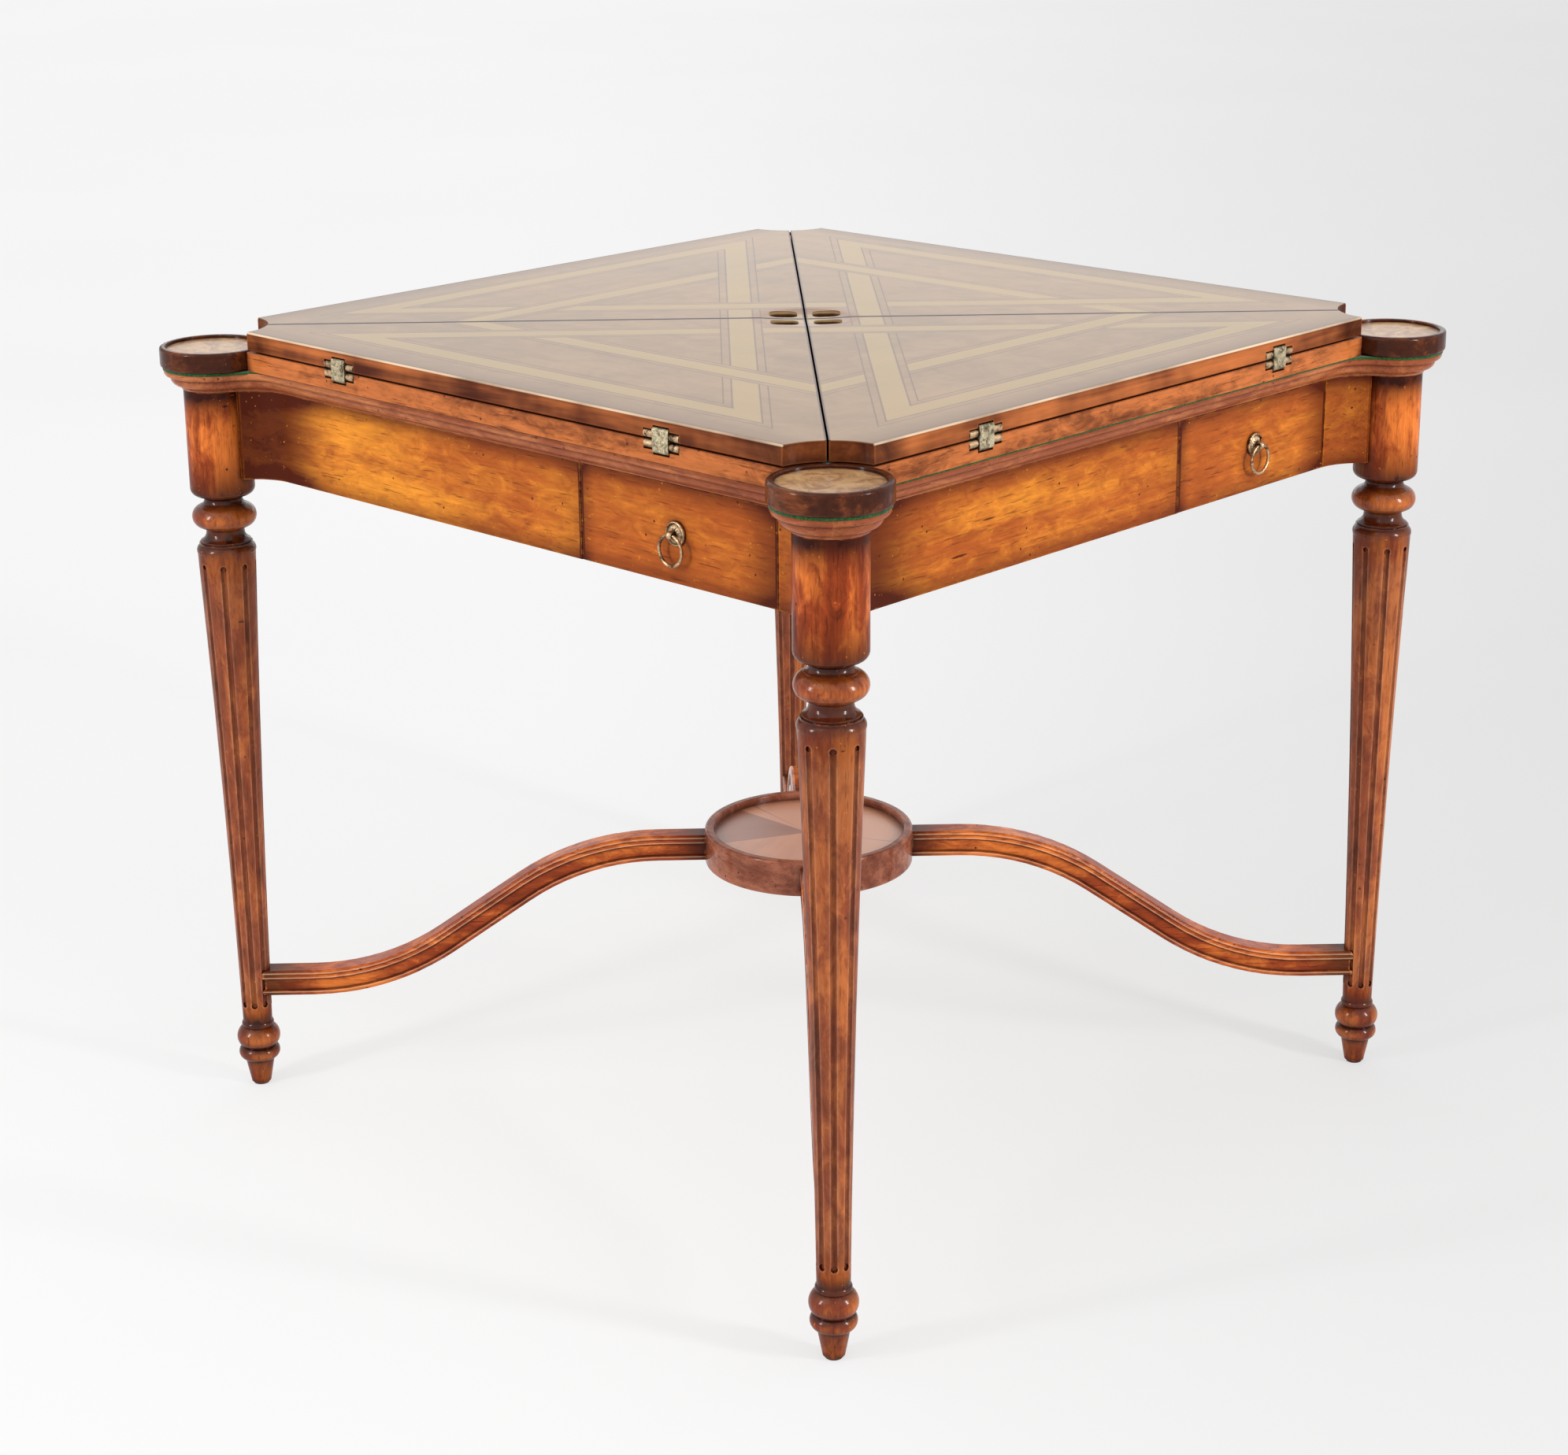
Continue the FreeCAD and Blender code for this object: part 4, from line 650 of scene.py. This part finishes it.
class GAMETABLE_OT_leaves(TableOperator, bpy.types.Operator):
    """Veneer the four leaves with their woven banding"""

    bl_idname = "gametable.leaves"
    bl_label = "Leaves"

    def make(self, scene, hue):
        size = scene.table_sizes
        veneer = Finish("leaf veneer")
        out, along, mark = veneer.quarter()
        grain = veneer.vector(out, along * 0.05 + mark, veneer.z)
        fine = veneer.noise(240.0, grain, 3.0, 0.65)
        streaks = veneer.noise(30.0, grain, 4.0, 0.6, 0.4)
        patches = veneer.noise(6.0, detail=5.0, rough=0.6)
        left = (out + along) * ROOT_HALF - size.seam_band
        right = (out - along) * ROOT_HALF - size.seam_band
        outer = out - size.outer_band
        inner = out - size.inner_band
        clouds = veneer.noise(26.0, detail=4.0, rough=0.65, warp=1.2)
        field = veneer.shade(hue.top_field, 0.09 + fine * 0.2 + streaks * 0.4 + patches * 0.7 + clouds * 0.5)
        field = veneer.mix(out.rise(0.345, 0.39) * 0.45 * (0.4 + clouds), field, hue.edge_dark)
        strip_grain = veneer.noise(420.0, veneer.vector(out, along, veneer.z), 3.0, 0.7)
        strip = veneer.shade(hue.top_strip, 0.66 + strip_grain * 0.22 + streaks * 0.16 + patches * 0.28)

        def band(under, offset, where):
            """Lay one band over what is below it, where a mask allows."""
            reach = abs(offset)
            body = veneer.mix(reach < size.strip_half, field, strip)
            lines = abs(reach - size.line_near).least(abs(reach - size.line_far))
            lines = lines.rise(size.line_half, size.line_half * 0.5)
            body = veneer.mix(lines * 0.7, body, hue.top_line)
            return veneer.mix((reach < size.line_far + size.line_half) * where, under, body)

        # Bands, each woven over or under the one before it
        near = out < size.cross_near
        far = out > size.cross_far
        middle = (1 - near) * (1 - far)
        face = band(field, left, near)
        face = band(face, right, 1 - far)
        face = band(face, inner, 1 - far)
        face = band(face, left, middle)
        face = band(face, outer.most(-left).most(-right), far)
        # Wear round the finger hollows, scuffs, seams and the rim of the face
        reach = veneer.radius()
        below = TABLE_TOP - veneer.z
        worn = reach.rise(0.056, 0.046)
        inside = (reach < size.hollow_reach) * (below > 0.0012)
        face = veneer.mix(worn * 0.35, face, hue.stand_light)
        face = veneer.mix(inside, face, strip)
        scuffs = veneer.scratches(40.0, (0.0, 0.0, 0.6), 0.03)
        scuffs = scuffs.most(veneer.scratches(30.0, (0.0, 0.0, 2.2), 0.03))
        face = veneer.mix(scuffs * 0.5, face, hue.top_line)
        beside = (out - abs(along)) * ROOT_HALF - ((veneer.x * veneer.y) > 0.0) * 0.0014
        face = veneer.mix(beside.rise(0.0028, 0.0016) * 0.85, face, hue.leg_dark)
        rim = out.rise(LEAF_OUT - 0.006, LEAF_OUT - 0.001) * 0.55
        face = veneer.mix(rim, face, hue.edge_dark)
        # Outer edges
        edge_vector = side_grain(veneer)
        edge_mix = veneer.noise(26.0, edge_vector, 4.0, 0.65, 0.5) * 0.6 + veneer.noise(12.0, detail=3.0) * 0.4
        edge = veneer.mix(edge_mix.rise(0.40, 0.62), hue.edge_dark, hue.edge_light)
        edge = veneer.shade(edge, 0.55 + veneer.noise(FINE, edge_vector, 3.0, 0.65) * 0.9)
        edge = veneer.mix(veneer.nicks(75.0) * 0.7, edge, hue.leg_dark)
        tips = (abs(veneer.x) + abs(veneer.y)).rise(0.675, 0.700)
        edge = veneer.mix(tips * (0.2 + clouds), edge, hue.leg_dark)
        edge = veneer.mix(below.rise(0.004, 0.001) * 0.5, edge, hue.edge_dark)
        edge = veneer.mix(veneer.worn(RUB) * 0.45, edge, hue.edge_light)
        # Painted shade in the crevices of the edges
        edge = veneer.mix(veneer.crevice(0.01).rise(0.85, 0.35) * 0.85, edge, hue.leg_dark)
        # Face, hollows and edges together; painted shade deep in the finger hollows and in the crevices of the
        # face
        upper = (below < 0.0006).most(reach < size.hollow_reach - 0.001)
        hollow = (reach < size.hollow_reach) * below.rise(0.0024, 0.004)
        floor = veneer.mix(streaks.rise(0.4, 0.6), hue.leg_dark, hue.edge_dark)
        face = veneer.mix(hollow * 0.9, face, floor)
        face = veneer.mix(veneer.crevice(0.012).rise(0.75, 0.25) * 0.8, face, hue.leg_dark)
        # Painted highlight along the upper arris, stronger where the edge is light
        arris_highlight = out.rise(LEAF_OUT - 0.0018, LEAF_OUT - 0.0008) * below.rise(0.0020, 0.0010)
        rubbed = arris_highlight * (0.25 + edge_mix.rise(0.4, 0.6) * 0.6)
        body = veneer.mix(rubbed, veneer.mix(upper, edge, face), hue.arris_highlight)
        gloss = 0.34 + (fine - 0.5) * 0.08 + (patches - 0.5) * 0.06
        height = fine * 0.4 + strip_grain * 0.15 - scuffs * 1.5
        dress(veneer.surface(body, gloss, height, 0.12, 0.0002, {
            "Specular IOR Level": WOOD_MIRROR, "Coat Weight": 0.1 + upper * 0.42, "Coat IOR": LACQUER_INDEX,
            "Coat Roughness": 0.3}), *numbered("leaf"))


class GAMETABLE_OT_board(TableOperator, bpy.types.Operator):
    """Stain the turning board and its corner stands, and veneer the stands' inlays"""

    bl_idname = "gametable.board"
    bl_label = "Board and stands"

    def make(self, scene, hue):
        dress(stained("board edge stain", hue.edge_light, hue.edge_light, hue.edge_dark, side_grain,
                      {"patch": 26.0, "depth": 0.008, "dark_at": (0.54, 0.40)}), "top_board")
        dress(stained("stand stain", hue.stand_light, hue.stand, hue.leg_dark, turned_grain,
                      {"patch": 34.0, "depth": 0.006, "gloss": 0.24, "coat": 0.26, "light_at": (0.48, 0.66)}),
              "corner_stands")
        burl = Finish("stand burl")
        swirl = burl.noise(30.0, detail=5.0, rough=0.65, warp=2.4)
        specks = burl.noise(160.0, detail=2.0, warp=1.0)
        eyes = burl.cells(80.0)
        body = burl.mix(swirl.rise(0.36, 0.66), hue.burl_dark, hue.burl_light)
        body = burl.shade(body, 0.86 + specks * 0.24)
        body = burl.mix(eyes.rise(0.10, 0.03) * swirl.rise(0.5, 0.62) * 0.7, body, hue.leg_dark)
        lines = abs(burl.noise(22.0, detail=3.0, warp=3.0) - 0.5).rise(0.014, 0.004)
        body = burl.mix(lines * 0.45, body, hue.leg_mid)
        # Painted shade in the crevices
        body = burl.mix(burl.crevice(0.006).rise(0.92, 0.5) * 0.7, body, hue.leg_dark)
        dress(burl.surface(body, 0.28 + specks * 0.12, specks, 0.05, 0.0002, {
            "Specular IOR Level": 0.5, "Coat Weight": 0.2, "Coat Roughness": 0.2}), "stand_inlays")


class GAMETABLE_OT_stretcher(TableOperator, bpy.types.Operator):
    """Stain the stretcher arms and the tray, and lay the tray's wedge veneer"""

    bl_idname = "gametable.stretcher"
    bl_label = "Stretcher and tray"

    def make(self, scene, hue):
        middle, tilt = arm_line()

        def side_lines(wood, places):
            """1 on lines that run along the arm's sides."""
            reach = wood.radius()
            offset = (wood.z - wood.profile(reach, middle)) * wood.profile(reach, tilt)
            first, *others = [abs(offset - place).rise(half, half * 0.4) for place, half in places]
            for line in others:
                first = first.most(line)
            return first

        def joints(wood, clouds):
            """Dark at both joints, and painted shade lines in the quirks beside the beads."""
            reach = wood.radius()
            ends = reach.rise(*TRAY_JOINT).most(reach.rise(*LEG_JOINT)) * (0.3 + clouds)
            return ends.most(side_lines(wood, ARM_QUIRK_SHADE) * 0.65)

        def beads(wood):
            """Painted highlight lines on the beads."""
            return side_lines(wood, ARM_BEAD_HIGHLIGHTS) * 0.36

        dress(stained("arm stain", hue.leg_light, hue.leg_mid, hue.leg_dark, arm_grain,
                      {"patch": 18.0, "depth": 0.006, "open": 0.98, "shut": 0.5, "coat": 0.18, "gloss": 0.2,
                       "dark_by": joints, "glint": (beads, hue.arris_highlight)}), "stretcher_arms")
        dress(stained("tray rim stain", hue.rim_light, hue.rim, hue.leg_dark, turned_grain,
                      {"depth": 0.006, "gloss": 0.2, "coat": 0.3, "wear": 0.9, "bite": 0.5}), "stretcher_tray")
        wedge = Finish("tray wedge veneer")
        count, start, scatter = 5.0, 0.53, 12.9898
        turn = wedge.y.math("ARCTAN2", wedge.x) / TURN + start
        piece = (turn * count).math("FLOOR")
        pick = abs((piece * scatter).math("SINE"))
        inside = (turn * count).math("FRACT")
        seam = abs(inside - 0.5).rise(0.488, 0.498)
        angle = (piece + 0.5) * (TURN / count)
        lengthwise = wedge.x * angle.math("COSINE") + wedge.y * angle.math("SINE")
        cross = wedge.y * angle.math("COSINE") - wedge.x * angle.math("SINE")
        grain = wedge.noise(60.0, wedge.vector(lengthwise * 0.1 + piece, cross, wedge.z), 4.0, 0.65)
        patches = wedge.noise(14.0, detail=3.0)
        light = (pick * 0.6 + grain * 0.5 + patches * 0.3 - 0.2).rise(0.15, 0.6)
        body = wedge.mix(light, hue.tray_dark, hue.tray_light)
        body = wedge.mix(seam * 0.5, body, hue.leg_dark)
        # Painted shade in the crevices at the rim
        body = wedge.mix(wedge.crevice(0.012).rise(0.85, 0.4) * 0.75, body, hue.leg_dark)
        dress(wedge.surface(body, 0.34 + grain * 0.1, grain, 0.06, 0.0002, {
            "Specular IOR Level": 0.5, "Coat Weight": 0.5, "Coat Roughness": 0.3}), "tray_inlay")


class GAMETABLE_OT_inside(TableOperator, bpy.types.Operator):
    """Plain wood for the deck, rails and drawer boxes, steel for the pivot"""

    bl_idname = "gametable.inside"
    bl_label = "Inner pieces"

    def make(self, scene, hue):
        plain = Finish("plain wood")
        vector = side_grain(plain)
        rings = plain.noise(22.0, vector, 4.0, 0.6, 1.2)
        fine = plain.noise(260.0, vector, 3.0, 0.7)
        body = plain.mix(rings.rise(0.35, 0.65), hue.plain_dark, hue.plain_light)
        body = plain.shade(body, 0.8 + fine * 0.35)
        # Painted shade in the corners
        body = plain.mix(plain.crevice(0.03).rise(0.8, 0.2) * 0.5, body, hue.leg_mid)
        dress(plain.surface(body, 0.62 + fine * 0.1, fine, 0.2, 0.0003, {"Specular IOR Level": 0.3}),
              "deck_board", "drawer_rails", *numbered("drawer_box"))
        steel = Finish("pivot steel")
        brushed = steel.noise(500.0, steel.vector(steel.x, steel.y, steel.z * 0.1), 2.0)
        body = steel.shade(hue.steel, 0.8 + brushed * 0.3)
        dress(steel.surface(body, 0.34 + brushed * 0.15, brushed, 0.05, 0.0002, {"Metallic": 1.0}),
              "pivot_plate", "pivot_washer", "pivot_nut", "stop_peg")


def aged_metal(name, light, dark, relief):
    """Rubbed metal with patina in its hollows and a scrolled relief."""
    metal = Finish(name)
    tarnish = metal.noise(140.0, detail=4.0, rough=0.65, warp=0.6)
    fine = metal.noise(900.0, detail=2.0)
    hidden = metal.crevice(0.003).rise(0.97, 0.6)
    scrolls = abs(metal.noise(210.0, detail=2.0, warp=2.6) - 0.5).rise(0.02, 0.09)
    body = metal.mix(tarnish.rise(0.30, 0.58), dark, light)
    body = metal.mix(hidden * 0.9, body, dark)
    body = metal.mix(scrolls.rise(0.6, 0.1) * 0.55 * relief, body, dark)
    height = fine * 0.2 + scrolls * relief
    return metal.surface(body, 0.24 + tarnish * 0.2 + hidden * 0.2, height, 0.5, 0.0005, {"Metallic": 1.0})


class GAMETABLE_OT_brass(TableOperator, bpy.types.Operator):
    """Age the brass of hinges, bush and pulls"""

    bl_idname = "gametable.brass"
    bl_label = "Brass"

    def make(self, scene, hue):
        dress(aged_metal("antique brass", hue.brass_light, hue.brass_dark, 0.3),
              "pivot_bush", "board_hinge_barrels", *numbered("leaf_hinge_barrels"), *numbered("pull_rosette"),
              *numbered("pull_ring"))
        dress(aged_metal("hinge link brass", hue.link_light, hue.link_dark, 1.0), *numbered("hinge_links"))


def cloth_finish(hue):
    """Matt green cloth with a short nap."""
    cloth = Finish("green cloth")
    fibres = cloth.noise(1500.0, detail=3.0, rough=0.7)
    tufts = cloth.noise(380.0, detail=3.0, rough=0.7, warp=1.0)
    patches = cloth.noise(9.0, detail=3.0)
    body = cloth.mix((fibres * 0.4 + tufts * 0.6).rise(0.40, 0.58), hue.felt_dark, hue.felt)
    body = cloth.shade(body, 0.86 + patches * 0.28)
    return cloth.surface(body, 0.95, fibres * 0.7 + tufts * 0.6, 0.6, 0.0005,
                         {"Specular IOR Level": 0.1, "Sheen Weight": 0.25, "Sheen Roughness": 0.5})


def upright(face):
    """Whether a face stands on edge."""
    return abs(face.normal.z) < 0.1


def cloth_piece(name, node, body, material, spread, soften):
    """Soft-edged cloth over the place of a CAD cloth, spread outwards at its rim."""
    shape = bmesh.new()
    shape.from_mesh(NODES[node].data)
    bmesh.ops.remove_doubles(shape, verts=shape.verts, dist=TOUCH)
    bmesh.ops.dissolve_limit(shape, angle_limit=math.radians(1.0), verts=shape.verts, edges=shape.edges)
    bmesh.ops.recalc_face_normals(shape, faces=shape.faces)
    low = min(vert.co.z for vert in shape.verts)
    high = max(vert.co.z for vert in shape.verts)
    for vert in shape.verts:
        push = sum((face.normal for face in vert.link_faces if upright(face)), Vector((0.0, 0.0, 0.0)))
        if push.length > TOUCH and vert.co.xy.length > FELT_HOLE and spread > 0.0:
            tuft = noise.noise(vert.co * TUFTS)
            far_corner = min(abs(vert.co.x), abs(vert.co.y)) > FELT_SIDE
            trim = 1.0 if far_corner or vert.co.x > FELT_SIDE else 0.35
            vert.co += push.normalized() * spread * (trim + 0.18 * tuft)
            if vert.co.z < low + TOUCH:
                vert.co.z -= spread * (0.32 * trim + 0.1 * tuft)
    rims = [edge for edge in shape.edges
            if abs(edge.verts[0].co.z - edge.verts[1].co.z) < TOUCH
            and any(upright(face) for face in edge.link_faces)
            and (edge.verts[0].co + edge.verts[1].co).xy.length > 0.02]
    bmesh.ops.bevel(shape, geom=rims, offset=min(soften, (high - low) * 0.45), affect="EDGES", segments=2,
                    profile=0.5, material=-1)
    bmesh.ops.triangulate(shape, faces=[face for face in shape.faces if len(face.verts) > 4])
    mesh = bpy.data.meshes.new(name)
    shape.to_mesh(mesh)
    area = sum(face.calc_area() for face in shape.faces) / 2
    box = [[fn(vert.co[axis] for vert in shape.verts) for fn in (min, max)] for axis in (0, 1)]
    shape.free()
    mesh.materials.append(material)
    piece = bpy.data.objects.new(name, mesh)
    bpy.context.scene.collection.objects.link(piece)
    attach(piece, body)
    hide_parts(node)
    wide, long = (high_side - low_side for low_side, high_side in box)
    return piece, (wide, long), min(area, wide * long)


class GAMETABLE_OT_cloth(TableOperator, bpy.types.Operator):
    """Lay the felt on the frame and the baize on the board and leaves"""

    bl_idname = "gametable.cloth"
    bl_label = "Felt and baize"

    def make(self, scene, hue):
        size = scene.table_sizes
        green = cloth_finish(hue)
        felt, flat, area = cloth_piece("felt_sheet", "frame_felt", "frame", green, size.felt_spread, size.nap)
        field, flat, area = cloth_piece("board_cloth", "board_baize", "top", green, 0.0, size.nap)
        for side in SIDES:
            cloth, flat, area = cloth_piece("leaf_cloth_%d" % side, "leaf_baize_%d" % side,
                                            "leaf_body_%d" % side, green, 0.0, size.nap)


class GAMETABLE_OT_stage(TableOperator, bpy.types.Operator):
    """Floor, plain background, lamps and the photo's camera"""

    bl_idname = "gametable.stage"
    bl_label = "Stage"

    def make(self, scene, hue):
        stage = scene.table_stage
        scene.view_settings.view_transform = "Standard"
        shape = bmesh.new()
        bmesh.ops.create_grid(shape, x_segments=1, y_segments=1, size=FLOOR_HALF)
        mesh = bpy.data.meshes.new("studio_floor")
        shape.to_mesh(mesh)
        shape.free()
        ground = Finish("studio floor")
        cloud = ground.noise(0.8, detail=1.0)
        # Painted shade: a little darker on the camera's right, as in the photo, and even far away
        turn = math.radians(stage.azimuth)
        side = ground.x * math.cos(turn) + ground.y * math.sin(turn)
        deep = (stage.distance + ground.y * math.cos(turn) - ground.x * math.sin(turn)).most(0.8)
        far = ground.radius().rise(*FLOOR_FADE)
        fall = (side / deep).rise(-0.12, 0.32) * (0.11 + deep.rise(1.5, 4.0) * 0.06) * (1.0 - far)
        fall = (1.0 - fall) * (0.985 + cloud * 0.03) * (1.0 + deep.rise(3.0, 8.0) * 0.05 + far * 0.04)
        mesh.materials.append(ground.surface(ground.shade(hue.floor, fall * FLOOR_PAINT), 0.9, constants={
            "Specular IOR Level": 0.0, "Emission Color": ground.shade(hue.floor, fall),
            "Emission Strength": FLOOR_GLOW}))
        floor = bpy.data.objects.new("studio_floor", mesh)
        scene.collection.objects.link(floor)
        self.sky(scene, stage)
        self.lamp(scene, "key_lamp", stage.key, *KEY_LAMP)
        self.lamp(scene, "fill_lamp", stage.fill, *FILL_LAMP)
        self.strip(scene, "left_strip", stage.azimuth, STRIP_LEFT, stage.strip)
        self.strip(scene, "right_strip", stage.azimuth, STRIP_RIGHT, stage.strip * RIGHT_GAIN)
        self.strip(scene, "back_card", stage.azimuth, BACK_CARD, stage.card)
        self.camera(scene, stage)

    @staticmethod
    def sky(scene, stage):
        """Even light all round, and a plain pale background for what looks past the table."""
        world = bpy.data.worlds.new("studio")
        world.use_nodes = True
        tree = world.node_tree
        tree.nodes.clear()
        path = add_node(tree, "ShaderNodeLightPath", output="Is Camera Ray")
        seen = path.most(path.output("Is Glossy Ray")).most(path.output("Is Transmission Ray"))
        strength = stage.sky + seen * (stage.backdrop - stage.sky)
        white = (1.0, 1.0, 1.0, 1.0)
        light = add_node(tree, "ShaderNodeBackground", inputs={"Color": white, "Strength": strength})
        add_node(tree, "ShaderNodeOutputWorld", inputs={"Surface": light})
        scene.world = world

    @staticmethod
    def lamp(scene, name, strength, towards, spread):
        """Broad far lamp that shines from a direction."""
        data = bpy.data.lights.new(name, "SUN")
        data.energy = strength
        data.angle = math.radians(spread)
        lamp = bpy.data.objects.new(name, data)
        lamp.rotation_mode = "QUATERNION"
        lamp.rotation_quaternion = Vector(towards).to_track_quat("Z", "Y")
        lamp.location = Vector(towards).normalized() * LAMP_AWAY
        scene.collection.objects.link(lamp)

    @staticmethod
    def strip(scene, name, azimuth, stand, power):
        """Soft oblong lamp that faces the table from one side."""
        turn, away, high, wide, tall = stand
        angle = math.radians(azimuth + turn)
        place = Vector((math.sin(angle) * away, -math.cos(angle) * away, high))
        data = bpy.data.lights.new(name, "AREA")
        data.shape = "RECTANGLE"
        data.size = wide
        data.size_y = tall
        data.energy = power
        lamp = bpy.data.objects.new(name, data)
        lamp.rotation_mode = "QUATERNION"
        lamp.rotation_quaternion = (place - Vector((0.0, 0.0, LAMP_AIM))).to_track_quat("Z", "Y")
        lamp.location = place
        scene.collection.objects.link(lamp)

    @staticmethod
    def camera(scene, stage):
        """Camera that stands where the photo's did."""
        turn = math.radians(stage.azimuth)
        lift = math.radians(stage.elevation)
        tilt = math.radians(stage.roll)
        back = Vector((math.sin(turn) * math.cos(lift), -math.cos(turn) * math.cos(lift), math.sin(lift)))
        right = Vector((math.cos(turn), math.sin(turn), 0.0))
        up = back.cross(right)
        tilted_right = right * math.cos(tilt) + up * math.sin(tilt)
        tilted_up = up * math.cos(tilt) - right * math.sin(tilt)
        target = right * stage.target_side + Vector((0.0, 0.0, stage.target_high))
        data = bpy.data.cameras.new("photo_camera")
        data.sensor_fit = "HORIZONTAL"
        data.sensor_width = SENSOR_MM
        data.lens = stage.focal / PHOTO_WIDE * SENSOR_MM
        data.shift_y = (stage.axis_high - PHOTO_HIGH / 2) / PHOTO_WIDE
        camera = bpy.data.objects.new("photo_camera", data)
        pose = Matrix((tilted_right, tilted_up, back)).transposed().to_4x4()
        pose.translation = target + back * stage.distance
        camera.matrix_world = pose
        scene.collection.objects.link(camera)
        scene.camera = camera


STEPS = (GAMETABLE_OT_stage, GAMETABLE_OT_legs, GAMETABLE_OT_frieze, GAMETABLE_OT_moulding,
         GAMETABLE_OT_leaves, GAMETABLE_OT_board, GAMETABLE_OT_stretcher, GAMETABLE_OT_inside,
         GAMETABLE_OT_brass, GAMETABLE_OT_cloth)


class GAMETABLE_PT_panel(bpy.types.Panel):
    """Lists the table's settings and operators"""

    bl_idname = "GAMETABLE_PT_panel"
    bl_label = "Folding Game Table"
    bl_space_type = "VIEW_3D"
    bl_region_type = "UI"
    bl_category = "Table"

    def draw(self, context):
        for step in STEPS:
            self.layout.operator(step.bl_idname)
        for group in (context.scene.table_colours, context.scene.table_sizes, context.scene.table_stage):
            box = self.layout.box()
            for name in group.__annotations__:
                box.prop(group, name)


CLASSES = (TableColours, TableSizes, TableStage) + STEPS + (GAMETABLE_PT_panel,)


def register():
    for item in CLASSES:
        bpy.utils.register_class(item)
    bpy.types.Scene.table_colours = PointerProperty(type=TableColours)
    bpy.types.Scene.table_sizes = PointerProperty(type=TableSizes)
    bpy.types.Scene.table_stage = PointerProperty(type=TableStage)


def unregister():
    del bpy.types.Scene.table_stage
    del bpy.types.Scene.table_sizes
    del bpy.types.Scene.table_colours
    for item in reversed(CLASSES):
        bpy.utils.unregister_class(item)


def main():
    """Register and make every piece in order."""
    register()
    for step in STEPS:
        group, name = step.bl_idname.split(".")
        getattr(getattr(bpy.ops, group), name)()


if __name__ == "__main__":
    main()
